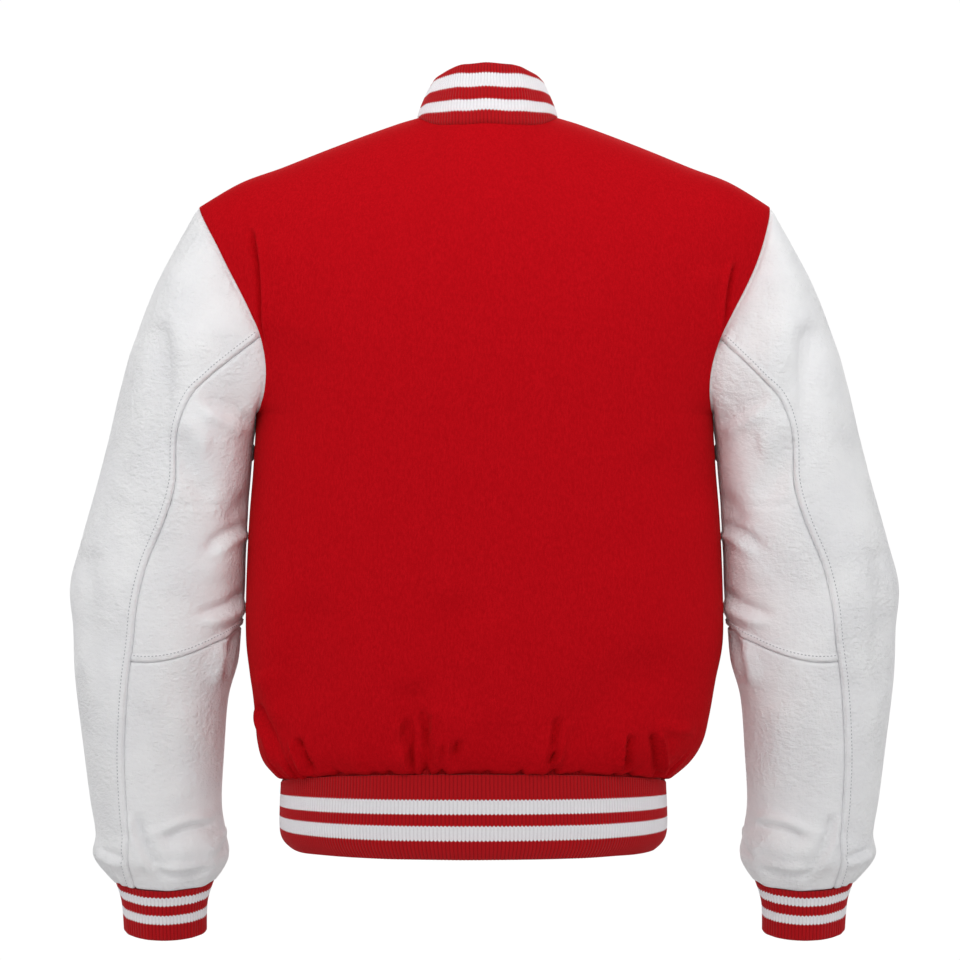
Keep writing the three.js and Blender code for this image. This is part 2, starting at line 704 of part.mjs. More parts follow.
// Domed cap of a snap, seated on the left front or on the band below it.
function snap(number) {
  const z = mix(SNAPS.first, SNAPS.last, (number - 1) / (SNAPS.count - 1));
  const onBand = number === SNAPS.count;
  const surface = onBand ? (row) => ring(HEM, row, Math.PI) : (row) => bodyForm(row, Math.PI);
  const seat = seatAt(surface, z, onBand ? [0, HEM.length - 1] : [-1, TORSO.length - 1]);
  const profile = [
    new THREE.Vector2(0, 0),
    new THREE.Vector2(SNAP_RADIUS, 0),
    new THREE.Vector2(SNAP_RADIUS, SNAP_RIM),
    new THREE.Vector2(SNAP_RADIUS * SNAP_DOME.across, SNAP_HEIGHT * SNAP_DOME.up),
    new THREE.Vector2(0, SNAP_HEIGHT),
  ];
  const mesh = new THREE.Mesh(new THREE.LatheGeometry(profile, SNAP_SIDES), snapCap);
  mesh.name = `snap_${number}`;
  const lift = onBand ? SEAM_GAP + RIB_HEIGHT / 2 : SNAP_LIFT;
  mesh.position.copy(seat.point).addScaledVector(seat.normal, lift);
  mesh.quaternion.setFromUnitVectors(new THREE.Vector3(0, 1, 0), seat.normal);
  return mesh;
}

// Row of the middle front at a height, found by halving, and the way it faces there.
function seatAt(surface, z, [low, high]) {
  let above = low;
  let below = high;
  for (let pass = 0; pass < SEAT_PASSES; pass += 1) {
    const middle = (above + below) / 2;
    if (surface(middle).z > z) {
      above = middle;
    } else {
      below = middle;
    }
  }
  const after = surface(Math.min(above + SEAT_STEP, high));
  const down = after.sub(surface(Math.max(above - SEAT_STEP, low)));
  const normal = new THREE.Vector3(0, down.z, -down.y).normalize();
  return { point: surface(above), normal };
}

function jacket() {
  const group = new THREE.Group();
  group.add(back(), front('left'), front('right'));
  group.add(...sleevePanels('left'), ...sleevePanels('right'));
  group.add(collar(), hemBand(), cuff('left'), cuff('right'));
  for (let number = 1; number <= SNAPS.count; number += 1) {
    group.add(snap(number));
  }
  return group;
}

export default jacket();
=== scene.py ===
import math

import bpy
import numpy as np
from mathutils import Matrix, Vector


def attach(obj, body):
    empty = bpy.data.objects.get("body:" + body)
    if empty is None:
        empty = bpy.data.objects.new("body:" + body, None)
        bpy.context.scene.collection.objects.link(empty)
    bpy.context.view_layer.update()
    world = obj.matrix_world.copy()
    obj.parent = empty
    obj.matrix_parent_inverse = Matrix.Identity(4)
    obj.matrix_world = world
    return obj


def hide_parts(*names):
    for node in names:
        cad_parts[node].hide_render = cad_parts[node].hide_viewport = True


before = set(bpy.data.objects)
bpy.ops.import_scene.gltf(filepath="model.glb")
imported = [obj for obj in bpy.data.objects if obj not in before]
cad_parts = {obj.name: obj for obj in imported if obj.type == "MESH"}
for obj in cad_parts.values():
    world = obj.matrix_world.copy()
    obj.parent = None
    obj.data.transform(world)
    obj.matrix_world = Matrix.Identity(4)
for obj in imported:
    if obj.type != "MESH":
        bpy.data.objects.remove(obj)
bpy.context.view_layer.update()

# Forms are worked out in millimetres and become metres when a mesh is made. +Z is up,
# the fronts face -Y, the back faces +Y and the wearer's left is +X.
MM = 0.001
QUARTER = math.pi / 2
BODY = "root"


def table(names, *rows):
    """The columns of a short table, by name."""
    return dict(zip(names.split(), np.array(rows, float).T))


# Sizes of the solids that the cloth lies on.
WOOL_WALL = 2.8
LEATHER_WALL = 2.0
KNIT_WALL = 3.4
SEAM_GAP = 0.3
TORSO = table(
    "side middle half back front shift",
    (-265, -265, 204, 119, 122, 0),
    (-311, -311, 206.5, 120, 124, 0),
    (-362, -360, 210.5, 121, 125, 0),
    (-420, -415, 213, 123, 126, 0),
    (-468, -462, 213, 125, 127, 0),
    (-503, -497, 207.5, 126, 128, 1),
    (-534, -526, 203, 126, 128, 2),
    (-558, -548, 199, 124, 126, 4),
    (-577, -565, 190, 120, 122, 7),
    (-594, -579, 172, 113, 115, 9.5),
)
TORSO_ROWS = 9
SIDE_SEAM_Y = -5
TORSO_SQUARENESS = 2.4
SHOULDER_SQUARENESS = 3.2
RIDGE = table(
    "x z",
    (-25, 21),
    (0, 29),
    (25, 21),
    (51, 4.5),
    (80, -5),
    (112, -16.5),
    (147, -30),
    (183, -44.5),
    (219, -58),
    (256, -80),
)
RIDGE_MIDDLE, RIDGE_LAST = 1, 9
SIDE_SPREAD = 1.05
SIDE_POWER = 8
SHOULDER_ROUNDING = 0.32
SHOULDER_POWER = 4
BACK_ROLL = {"base": 0.6, "top": 0.55, "neck": 0.335}
FRONT_ROLL = {"base": 0.5, "top": 0.45, "neck": 0.56}
NECK_SHARE = 0.3
NECK_SHIFT = -3.5
ARMHOLE = table(
    "rise left right",
    (0, 1, 1),
    (0.005, 0.986, 0.989),
    (0.02, 0.964, 0.973),
    (0.06, 0.931, 0.949),
    (0.12, 0.91, 0.936),
    (0.2, 0.908, 0.939),
    (0.28, 0.921, 0.951),
    (0.36, 0.934, 0.963),
    (0.45, 0.947, 0.974),
    (0.55, 0.958, 0.982),
    (0.66, 0.971, 0.988),
    (0.78, 0.985, 0.994),
    (0.89, 0.995, 0.997),
    (1, 1, 1),
)
ARMHOLE_ROWS = 13
LAP = 15
LAP_RAMP = (62, 24)
WOOL_LAP_DEPTH = 4
SLEEVE = table(
    "outer_x outer_z inner_x inner_z y deep seam sag",
    (291, -144, 207, -292, -6, 73, 0.414, 0),
    (311, -194, 209, -316, -7, 72, 0.506, 0),
    (325, -240, 211, -340, -8, 70, 0.526, 0),
    (336, -286, 212.5, -366, -9, 68, 0.49, 0),
    (347, -328, 214, -394, -10, 66, 0.51, 0),
    (361, -377, 215, -426, -12, 64, 0.56, 0),
    (371.5, -418, 218, -456, -14, 63, 0.57, 0),
    (369, -456, 221, -486, -16, 61, 0.596, 0),
    (367.5, -500, 230, -519, -19, 58, 0.614, 0),
    (361, -558, 234, -566, -23, 54, 0.66, 0),
    (355, -608, 236.5, -613, -27, 51, 0.686, 1),
    (350, -640, 232.5, -642, -29, 49, 0.7, 3),
    (351, -660, 230.5, -661, -30, 48, 0.71, 6),
    (332.5, -682, 243, -682, -31, 36, 0.77, 9),
)
SLEEVE_LEVELS = 14
SLEEVE_SQUARENESS = 2.15
TOP_SHARE = 8
UNDER_SHARE = 5
ELBOW_AT_SEAM = 8.45
ELBOW_AT_INNER = 6.95
ARMHOLE_CLEAR = 0.4
HEM = table(
    "side middle half back front shift",
    (-594.5, -579.5, 172, 113, 115, 9.5),
    (-638, -634, 172.5, 115, 117, 9.5),
    (-652, -654.5, 162, 110, 112, 9.5),
)
HEM_LAP_DEPTH = 5.2
COLLAR_HEIGHT = {"back": 54, "side": 30, "front": 24, "end": 12}
COLLAR_ARCH = 4.8
COLLAR_LEAN = 12.5
COLLAR_CURL = 1.3
COLLAR_END = 3.09
COLLAR_ROUNDING = 0.3
COLLAR_OUT = 0.2
COLLAR_CLEAR = 0.6
CUFF = table(
    "x y half deep side middle",
    (287.7, -31, 44.6, 36, -682, -691),
    (287.7, -31, 38.5, 32, -702, -710),
    (287, -32, 37, 31, -729, -736),
)
SNAP_RADIUS = 7.5
SNAP_RISE = 3
SNAP_FIRST = -114
SNAP_LAST = -618
SNAP_COUNT = 7
SNAP_LIFT = 0.6

# Ribs of the knit. They are as close together as the photograph's, and closer than in
# the solids.
HEM_RIBS = 316
COLLAR_RIBS = 114
CUFF_RIBS = 72
RIB_HEIGHT = 0.65
RIB_ROUNDING = 2.4

# Gathers at the hem seam, as in the solids: the angle from the middle of the back
# toward the wearer's left, the width in degrees and the height.
GATHERS = table(
    "turn width height",
    (-60, 5, 2.5),
    (-41, 4, 2),
    (-18, 4, 3.5),
    (-9, 3.5, 2.5),
    (5, 3.5, 2.5),
    (20, 4, 3),
    (34, 3.5, 2.5),
    (52, 4, 3.5),
    (66, 5, 3.5),
    (118, 5, 3),
    (134, 4, 2.5),
    (151, 4, 3),
    (207, 4, 3),
    (224, 4, 2.5),
    (242, 5, 3),
)
GATHER_ROW = 8.3
GATHER_SPAN = 1.5

# Finer puckers that the band's seam pulls into the wool: where, how wide in degrees,
# how deep, and how far up the torso's rows each one runs.
PUCKERS = table(
    "turn width depth span",
    (-71, 1.6, 2.6, 1.1),
    (-64, 1.2, 1.6, 0.6),
    (-52, 1.5, 1.5, 0.5),
    (-45, 1.1, 1.3, 0.4),
    (-32, 1.3, 1.3, 0.5),
    (-23.5, 1.3, 2.9, 0.9),
    (-13.5, 1.1, 2.0, 0.5),
    (-4, 1.0, 1.4, 0.35),
    (1, 1.0, 1.8, 0.4),
    (9.5, 1.1, 2.2, 0.45),
    (14, 1.1, 2.8, 0.9),
    (25, 1.2, 1.5, 0.5),
    (30, 1.0, 1.1, 0.4),
    (43, 1.5, 1.5, 0.6),
    (57, 1.4, 2.4, 1.0),
    (62, 1.3, 2.6, 1.3),
    (73, 1.6, 2.6, 1.2),
    (104, 1.6, 2.2, 1.0),
    (112, 1.3, 1.4, 0.5),
    (126, 1.3, 2.4, 0.8),
    (143, 1.2, 1.8, 0.6),
    (158, 1.2, 2.2, 0.7),
    (168, 1.0, 1.2, 0.4),
    (197, 1.1, 1.6, 0.5),
    (214, 1.3, 2.3, 0.8),
    (232, 1.2, 1.7, 0.5),
    (248, 1.5, 2.5, 1.0),
    (257, 1.4, 1.5, 0.6),
)

# Creases of the wool, seen from behind: three points of each one's path, its half
# width and its height, which is negative for a trough. A lean of 1 raises the cloth to
# the left of the path, going along it, and -1 to its right.
WOOL_CREASES = table(
    "x0 z0 x1 z1 x2 z2 width height lean",
    (211, -96, 200.5, -146, 199, -225, 2.8, -5.0, -1),
    (188, -100, 186, -150, 192, -215, 14, 3.4, 0),
    (-226, -128, -217, -160, -213, -204, 2.8, -4.6, 1),
    (-198, -130, -201, -170, -208, -225, 13, 3.0, 0),
    (150, -195, 175, -245, 200, -300, 26, -2.6, 0),
    (-146, -292, -172, -326, -206, -345, 22, -2.6, 0),
    (180, -400, 190, -470, 196, -520, 16, 3.2, 0),
    (150, -420, 158, -480, 150, -535, 24, -2.8, 0),
    (28, -420, 26, -480, 30, -545, 22, -3.0, 0),
    (-2, -430, -6, -500, -4, -560, 26, 2.4, 0),
    (64, -500, 66, -540, 72, -575, 14, -3.6, 0),
    (-60, -570, -110, -520, -180, -470, 24, -3.4, 0),
    (-150, -540, -172, -546, -190, -545, 6, 2.4, 0),
    (-120, -390, -140, -440, -150, -500, 28, 2.0, 0),
    (203, -524, 194, -542, 177, -584, 3.6, -3.8, 1),
    (196, -490, 190, -520, 178, -548, 9, 3.0, 0),
    (-68, -534, -64, -558, -58, -590, 3.2, -6.2, -1),
    (168, -552, 161, -570, 149, -590, 3.0, -5.2, 1),
    (71, -534, 68, -560, 64, -590, 3.0, -6.0, 1),
    (55, -526, 51, -554, 50, -590, 3.2, -6.2, -1),
    (27, -552, 25, -570, 24, -590, 2.8, -4.6, 1),
    (-131, -549, -128, -568, -126, -590, 3.0, -5.0, 1),
    (-149, -547, -154, -568, -152, -590, 3.0, -5.0, -1),
)
WOOL_CREASE_SHARE = 1.5
LEATHER_CREASE_SHARE = 1.3
PUCKER_SHARE = 2.0
PUCKER_EDGE = {"share": 0.5, "away": 1.7, "width": 0.9}
CREASE_EDGE = {"share": 0.75, "away": 1.7, "width": 1.1}
CREASE_STEPS = 9
CREASE_ENDS = (0.22, 0.3)
FRONT_SHARE = 0.85
SIDE_FADE = (0.02, 0.28)
EDGE_FADE = {"back": 6.0, "front": 14.0}
ARMHOLE_FADE = 0.4

# Creases of the left sleeve's leather, in the same way. The right one mirrors them.
LEATHER_CREASES = table(
    "x0 z0 x1 z1 x2 z2 width height lean",
    (207, -276, 228, -262, 258, -250, 6, -3.6, -1),
    (212, -268, 236, -246, 262, -244, 12, -2.4, 0),
    (240, -292, 262, -284, 268, -262, 14, 2.6, 0),
    (294, -178, 288, -236, 292, -336, 9, -5.4, 0),
    (308, -190, 308, -260, 312, -340, 14, 1.8, 0),
    (270, -268, 262, -320, 236, -342, 11, -3.6, 0),
    (352, -380, 356, -430, 352, -520, 10, -3.4, 0),
    (279, -343, 256, -347, 222, -345, 2.2, -1.1, 0),
    (208, -364, 232, -372, 252, -392, 4.6, -4.2, -1),
    (205, -334, 222, -352, 226, -366, 9, -3.0, 0),
    (216, -386, 236, -398, 246, -420, 12, 2.2, 0),
    (212, -418, 232, -436, 262, -444, 4.6, -3.2, -1),
    (214, -436, 232, -448, 250, -452, 6, 2.2, 0),
    (220, -455, 229, -484, 231, -508, 4.5, -3.8, 1),
    (232, -470, 238, -490, 240, -512, 7, 2.2, 0),
    (238, -632, 268, -636, 288, -648, 4.0, -4.4, 1),
    (240, -646, 262, -652, 284, -660, 10, 3.2, 0),
    (312, -618, 302, -652, 286, -676, 4.0, -4.8, 1),
    (300, -632, 292, -650, 278, -664, 7, 2.6, 0),
    (322, -640, 312, -662, 304, -672, 8, 2.4, 0),
    (296, -674, 266, -676, 246, -668, 3.6, -3.2, -1),
    (347, -653, 332, -659, 320, -664, 3.4, -3.0, 1),
    (236, -634, 231, -648, 243, -668, 4.5, -3.0, 1),
    (270, -520, 262, -570, 266, -620, 16, 1.8, 0),
    (336, -470, 330, -540, 326, -610, 16, 1.6, 0),
)
SLEEVE_GATHERS = table(
    "column width height",
    (-11.6, 0.5, 1.8),
    (-9.9, 0.45, 2.2),
    (-6.3, 0.6, 2.0),
    (-4.1, 0.5, 2.4),
    (-1.7, 0.55, 1.8),
    (0.9, 0.5, 2.2),
    (3.2, 0.6, 2.0),
    (5.6, 0.5, 1.6),
    (9.6, 0.45, 2.0),
    (11.3, 0.5, 2.4),
    (12.6, 0.4, 1.6),
)

# Seams and the rows of stitches beside them.
WOOL_SINK = (0.9, 1.2)
WOOL_HEM_SINK = (2.6, 3.0)
LEATHER_SINK = (2.0, 1.2)
ARMHOLE_SINK = (1.6, 3.0)
WELT_HEIGHT = 1.0
WELT_EDGES = (1.6, 2.4)
INNER_SHARE = {"wool": 0.5, "leather": 0.6}
CUFF_GATHER_AT = 0.5
CUFF_GATHER_SPAN = 0.7
SHARP_ANGLE = math.radians(75)
STITCH_INSET = 7.4
STITCH_GROOVE = (0.9, 1.0)
STITCH_PITCH = 3.3
STITCH = {"length": 2.4, "width": 0.9, "height": 0.5}

# What is sewn on runs on under the edge beside it, this deep and this far.
TUCK_CLEAR = 1.0
TUCK_REACH = 5.0
TUCK_WALL = 1.2
KNIT_TUCK = 4.4

# The photograph was taken level, from this far behind the jacket.
CAMERA_AT = (4.0, 3800.0, -323.6)
FRAME_WIDTH = 858.2
SENSOR = 36.0
FLOOR_Z = -1100.0
FLOOR_RADIUS = 2900.0
FLOOR_SIDES = 96
STUDIO_LEVELS = ((-0.3, 0.08), (-0.14, 1.02), (0.14, 1.02), (0.3, 0.38))
LIGHT_SIZE = 1.6
LIGHT_SPREAD = math.radians(60)
KEY_AIM = (0, 0, 0.7)
KEY_POWER = 8.2
FILL_POWER = 1.2


def mix(start, end, share):
    return start + (end - start) * share


def smooth(share):
    held = np.clip(share, 0, 1)
    return held * held * (3 - 2 * held)


def bump(distance, width):
    return np.exp(-((distance / width) ** 2))


def points(x, y, z):
    return np.stack(np.broadcast_arrays(x, y, z), axis=-1).astype(float)


def unit(vectors):
    length = np.linalg.norm(vectors, axis=-1, keepdims=True)
    return vectors / np.maximum(length, 1e-9)


def curve(before, start, end, after, share):
    """Smooth curve through four values, between the middle two."""
    slope_start = (end - before) / 2
    slope_end = (after - start) / 2
    square = share * share
    cube = square * share
    return (
        start
        + slope_start * (share - 2 * square + cube)
        + (end - start) * (3 * square - 2 * cube)
        + slope_end * (cube - square)
    )


def column(rows, name, row):
    """Value of one column of a table at rows that may lie between two."""
    values = rows[name]
    last = len(values) - 1
    held = np.clip(row, 0, last)
    low = np.minimum(np.floor(held).astype(int), last - 1)
    near = [values[np.clip(low + step, 0, last)] for step in (-1, 0, 1, 2)]
    return curve(*near, held - low)


def ring_fullness(reach, squareness):
    return np.maximum(0, 1 - reach**squareness) ** (1 / squareness)


def ring(rows, row, turn):
    """A ring of the body or band, at an angle from the middle of the back."""
    is_back = np.cos(turn) >= 0
    depth = np.where(is_back, column(rows, "back", row), -column(rows, "front", row))
    fullness = ring_fullness(np.abs(np.sin(turn)), TORSO_SQUARENESS)
    return points(
        column(rows, "shift", row) + column(rows, "half", row) * np.sin(turn),
        SIDE_SEAM_Y + depth * fullness,
        mix(column(rows, "side", row), column(rows, "middle", row), fullness),
    )


def roll(turn, name):
    return np.where(np.cos(turn) >= 0, BACK_ROLL[name], FRONT_ROLL[name])


def chest(rise, turn):
    """The panel above the underarm rises straight and rolls over to the ridge."""
    base = ring(TORSO, 0, turn)
    across = np.sin(turn)
    reach = np.abs(across)
    row = mix(RIDGE_MIDDLE, RIDGE_LAST, reach)
    shift = NECK_SHIFT * (1 - reach**2)
    top = points(np.sign(across) * column(RIDGE, "x", row) + shift, SIDE_SEAM_Y, column(RIDGE, "z", row))
    is_back = np.cos(turn) >= 0
    depth = np.where(is_back, TORSO["back"][0], -TORSO["front"][0])
    depth = depth * ring_fullness(reach, SHOULDER_SQUARENESS)
    first = points(
        mix(base[..., 0], top[..., 0], SIDE_SPREAD * reach**SIDE_POWER),
        base[..., 1],
        mix(base[..., 2], top[..., 2], roll(turn, "base")),
    )
    rounding = roll(turn, "top") + SHOULDER_ROUNDING * reach**SHOULDER_POWER
    second = points(top[..., 0], top[..., 1] + depth * rounding, top[..., 2])
    share = np.asarray(rise)[..., None]
    rest = 1 - share
    return (
        rest**3 * base
        + 3 * rest**2 * share * first
        + 3 * rest * share**2 * second
        + share**3 * top
    )


def neck_rise(turn):
    reach = np.minimum(np.abs(np.sin(turn)) / NECK_SHARE, 1)
    return 1 - roll(turn, "neck") * np.sqrt(1 - reach**2)


def neck_turn_of(neck_turn):
    across = np.arcsin(NECK_SHARE * np.sin(neck_turn))
    return np.where(np.cos(neck_turn) >= 0, across, math.pi - across)


def neck_point(neck_turn):
    turn = neck_turn_of(neck_turn)
    return chest(neck_rise(turn), turn)


def normal_of(surface, a, b, low, high):
    """Unit normal of a surface of two values, of which the first has limits."""
    step = 1e-3
    after = surface(np.minimum(a + step, high), b)
    before = surface(np.maximum(a - step, low), b)
    return unit(np.cross(after - before, surface(a, b + step) - surface(a, b - step)))


def body_row(level, turn):
    """Points and outward normals of the body along one level. Negative levels are
    shares of the rise, and others are rows of the torso."""
    if level < 0:
        rise = -level * neck_rise(turn)
        return chest(rise, turn), normal_of(chest, rise, turn, 0, 1)
    row = np.full_like(turn, level)

    def surface(at, angle):
        return ring(TORSO, at, angle)

    return surface(row, turn), -normal_of(surface, row, turn, 0, TORSO_ROWS)


def away_from(turn, middle):
    """Degrees from a middle, the short way round."""
    return np.mod(np.degrees(turn) - middle + 180, 360) - 180


def gather_height(level, turn):
    height = np.zeros_like(turn)
    for middle, width, size in zip(*GATHERS.values()):
        height += size * bump(level - GATHER_ROW, GATHER_SPAN) * bump(away_from(turn, middle), width)
    for middle, width, depth, span in zip(*PUCKERS.values()):
        fade = smooth(1 - (TORSO_ROWS - level) / (2 * span)) ** 2
        across = away_from(turn, middle) / width
        edge = PUCKER_EDGE["share"] * bump(np.abs(across) - PUCKER_EDGE["away"], PUCKER_EDGE["width"])
        height += PUCKER_SHARE * depth * fade * (edge - bump(across, 1))
    return height


def seen_from_behind(grid):
    """Where points appear from the camera behind, measured at the depth of the origin.
    Points of the front are taken as if seen from the same distance in front."""
    x0, distance, z0 = CAMERA_AT
    scale = distance / (distance - np.abs(grid[..., 1]))
    return x0 + (grid[..., 0] - x0) * scale, z0 + (grid[..., 2] - z0) * scale


def crease_height(x, z, creases):
    """Height of soft creases at places seen from behind."""
    height = np.zeros_like(x)
    ends = np.linspace(0, 1, CREASE_STEPS)[:, None]
    place = np.stack([x.ravel(), z.ravel()], axis=-1)[:, None]
    for x0, z0, x1, z1, x2, z2, width, size, lean in zip(*creases.values()):
        start, middle, end = np.array([x0, z0]), np.array([x1, z1]), np.array([x2, z2])
        bend = 2 * middle - (start + end) / 2
        path = (1 - ends) ** 2 * start + 2 * ends * (1 - ends) * bend + ends**2 * end
        step = np.diff(path, axis=0)[None]
        offset = place - path[None, :-1]
        share = np.clip((offset * step).sum(-1) / (step**2).sum(-1), 0, 1)
        apart = offset - share[..., None] * step
        away = np.linalg.norm(apart, axis=-1)
        nearest = away.argmin(axis=1)
        pick = np.arange(len(nearest))
        ahead, beside = step[0, nearest], apart[pick, nearest]
        side = np.sign(ahead[:, 0] * beside[:, 1] - ahead[:, 1] * beside[:, 0])
        across = side * away[pick, nearest] / width
        along = (nearest + share[pick, nearest]) / len(step[0])
        fade = smooth(along / CREASE_ENDS[0]) * smooth((1 - along) / CREASE_ENDS[1])
        edge = bump(across - CREASE_EDGE["away"] * lean, CREASE_EDGE["width"])
        form = bump(across, 1) - CREASE_EDGE["share"] * abs(lean) * edge
        height += (size * fade * form).reshape(x.shape)
    return height


def side_fade(normal):
    """Creases die out where the cloth turns to the side."""
    start, end = SIDE_FADE
    return smooth((np.abs(normal[..., 1]) - start) / (end - start))


def lap_depth(x, turn, depth):
    """How far the wearer's right front is tucked under the left one."""
    share = smooth((x + LAP_RAMP[0]) / (LAP_RAMP[0] - LAP_RAMP[1]))
    return np.where(np.cos(turn) < 0, depth * share, 0)


def edge_distance(grid, edge):
    """Distance of a grid's points from one of its edges, along the grid's lines."""
    axis = 0 if edge in ("top", "bottom") else 1
    steps = np.linalg.norm(np.diff(grid, axis=axis), axis=-1)
    along = np.concatenate([np.zeros_like(steps.take([0], axis)), np.cumsum(steps, axis=axis)], axis=axis)
    return along.take([-1], axis) - along if edge in ("bottom", "last") else along


def sunk(grid, edge, sink):
    depth, width = sink
    return -depth * bump(edge_distance(grid, edge), width)


def cut_back(grid, edges):
    """A copy of a grid, drawn back from the seams at some of its edges."""
    cut = grid.copy()
    for edge in edges:
        at = {"top": np.s_[0], "bottom": np.s_[-1], "first": np.s_[:, 0], "last": np.s_[:, -1]}[edge]
        beside = {"top": np.s_[1], "bottom": np.s_[-2], "first": np.s_[:, 1], "last": np.s_[:, -2]}[edge]
        cut[at] += SEAM_GAP / 2 * unit(grid[beside] - grid[at])
    return cut


def tucked(grids, rows):
    """An outer and an inner grid with rows before their first that lie under a seam."""
    return [np.concatenate([row[None] for row in before] + [grid]) for grid, before in zip(grids, rows)]


def tuck_rows(point, normal, inward):
    """Rows under the wool's edge, outer and inner, the farther one first."""
    near = point - normal * (WOOL_WALL + TUCK_CLEAR)
    far = near + inward * TUCK_REACH
    wall = normal * TUCK_WALL
    return (far, near), (far - wall, near - wall)


def quads(first, width, rows, around, turned):
    """Faces between neighbouring points of a grid whose points start at an index."""
    row, at = np.meshgrid(np.arange(rows - 1), np.arange(width if around else width - 1), indexing="ij")
    after = (at + 1) % width
    corners = [row * width + at, row * width + after, (row + 1) * width + after, (row + 1) * width + at]
    faces = first + np.stack(corners, axis=-1).reshape(-1, 4)
    return faces[:, ::-1] if turned else faces


def shell(name, outer, inner, kept, material, around=False, uv=None):
    """Closed wall between an outer grid and an inner one that has fewer rows."""
    rows, width = outer.shape[:2]
    start = rows * width
    faces = quads(0, width, rows, around, False).tolist()
    faces += quads(start, width, len(kept), around, True).tolist()
    steps = width if around else width - 1
    for at in range(steps):
        after = (at + 1) % width
        last, low = (rows - 1) * width, start + (len(kept) - 1) * width
        faces.append([after, at, start + at, start + after])
        faces.append([last + at, last + after, low + after, low + at])
    if not around:
        for at, turned in ((0, False), (width - 1, True)):
            for index in range(len(kept) - 1):
                line = [row * width + at for row in range(kept[index], kept[index + 1] + 1)]
                line += [start + (index + 1) * width + at, start + index * width + at]
                faces.append(line[::-1] if turned else line)
    vertices = np.concatenate([outer.reshape(-1, 3), inner[kept].reshape(-1, 3)]) * MM
    piece = mesh_piece(name, vertices, faces, material)
    if uv is not None:
        values = np.concatenate([uv.reshape(-1, 2), uv[kept].reshape(-1, 2)])
        layer = piece.data.uv_layers.new(name="ribs")
        index = np.empty(len(piece.data.loops), int)
        piece.data.loops.foreach_get("vertex_index", index)
        layer.uv.foreach_set("vector", values[index].ravel())
    return piece


def mesh_piece(name, vertices, faces, material):
    """A smooth mesh of the faces, turned so that they look outward."""
    mesh = bpy.data.meshes.new(name)
    mesh.from_pydata(vertices.tolist(), [], faces)
    mesh.materials.append(material)
    mesh.update()
    mesh.calc_loop_triangles()
    corner = np.empty(3 * len(mesh.loop_triangles), int)
    mesh.loop_triangles.foreach_get("vertices", corner)
    a, b, c = vertices[corner.reshape(-1, 3)].transpose(1, 0, 2)
    if (a * np.cross(b, c)).sum() < 0:
        mesh.flip_normals()
    mesh.polygons.foreach_set("use_smooth", [True] * len(mesh.polygons))
    mesh.set_sharp_from_angle(angle=SHARP_ANGLE)
    piece = bpy.data.objects.new(name, mesh)
    bpy.context.scene.collection.objects.link(piece)
    return piece


def finished(piece, slot, *nodes):
    """The piece rides with the jacket and stands for these solids."""
    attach(piece, BODY)
    if nodes:
        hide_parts(*nodes)
    return piece


def rows_kept(rows, every, tucks=0):
    kept = [*range(tucks), *range(tucks, rows, every)]
    return kept if kept[-1] == rows - 1 else kept + [rows - 1]


# Body of red wool.

ABOVE_ROWS = 112
BELOW_ROWS = 100
NECK_COLUMNS = 14
SHOULDER_COLUMNS = 76
LAP_COLUMNS = 8


def body_levels():
    above = np.linspace(0, 1, ABOVE_ROWS + 1) ** 1.25
    rises = column(ARMHOLE, "rise", ARMHOLE_ROWS * (1 - above))
    below = TORSO_ROWS * (1 - (1 - np.linspace(0, 1, BELOW_ROWS + 1)) ** 1.5)
    return [*(-rises[:-1]), *below]


def reach_at(level, side):
    if level >= 0:
        return 1.0
    row = np.linspace(0, ARMHOLE_ROWS, 40 * ARMHOLE_ROWS)
    return float(np.interp(-level, column(ARMHOLE, "rise", row), column(ARMHOLE, side, row)))


def half_columns(level, side):
    """Angles of a panel's columns, from its middle to its armhole or side seam."""
    neck = np.arcsin(NECK_SHARE * np.sin(QUARTER * np.arange(NECK_COLUMNS) / NECK_COLUMNS))
    share = 1 - (1 - np.linspace(0, 1, SHOULDER_COLUMNS + 1)) ** 1.6
    end = math.asin(min(reach_at(level, side), 1.0))
    return np.concatenate([neck, mix(math.asin(NECK_SHARE), end, share)])


def body_panel(name, node, columns_at, lapped, edge_fade, creases):
    levels = body_levels()
    base, normal, height = [], [], []
    for level in levels:
        turn = columns_at(level)
        point, way = body_row(level, turn)
        if lapped:
            point = point - way * lap_depth(point[..., 0], turn, WOOL_LAP_DEPTH)[..., None]
        base.append(point)
        normal.append(way)
        height.append(gather_height(level, turn) if level > 0 else np.zeros_like(turn))
    base, normal, height = np.array(base), np.array(normal), np.array(height)
    x, z = seen_from_behind(base)
    from_edges = np.minimum.reduce([edge_distance(base, edge) for edge in ("top", "first", "last")])
    height += WOOL_CREASE_SHARE * smooth(from_edges / edge_fade) * side_fade(normal) * creases(x, z)
    height += sunk(base, "top", WOOL_SINK) + sunk(base, "bottom", WOOL_HEM_SINK)
    height += sunk(base, "first", WOOL_SINK) + sunk(base, "last", WOOL_SINK)
    edges = ("top", "bottom", "first", "last")
    outer = cut_back(base + normal * height[..., None], edges)
    depth = np.minimum(height, 0) * INNER_SHARE["wool"] - WOOL_WALL
    inner = cut_back(base + normal * depth[..., None], edges)
    piece = shell(name, outer, inner, rows_kept(len(levels), 2), WOOL)
    return finished(piece, "wool", node)


def make_back():
    def columns_at(level):
        right = -half_columns(level, "right")[:0:-1]
        return np.concatenate([right, half_columns(level, "left")])

    def creases(x, z):
        return crease_height(x, z, WOOL_CREASES)

    return body_panel("wool_back", "back", columns_at, False, EDGE_FADE["back"], creases)


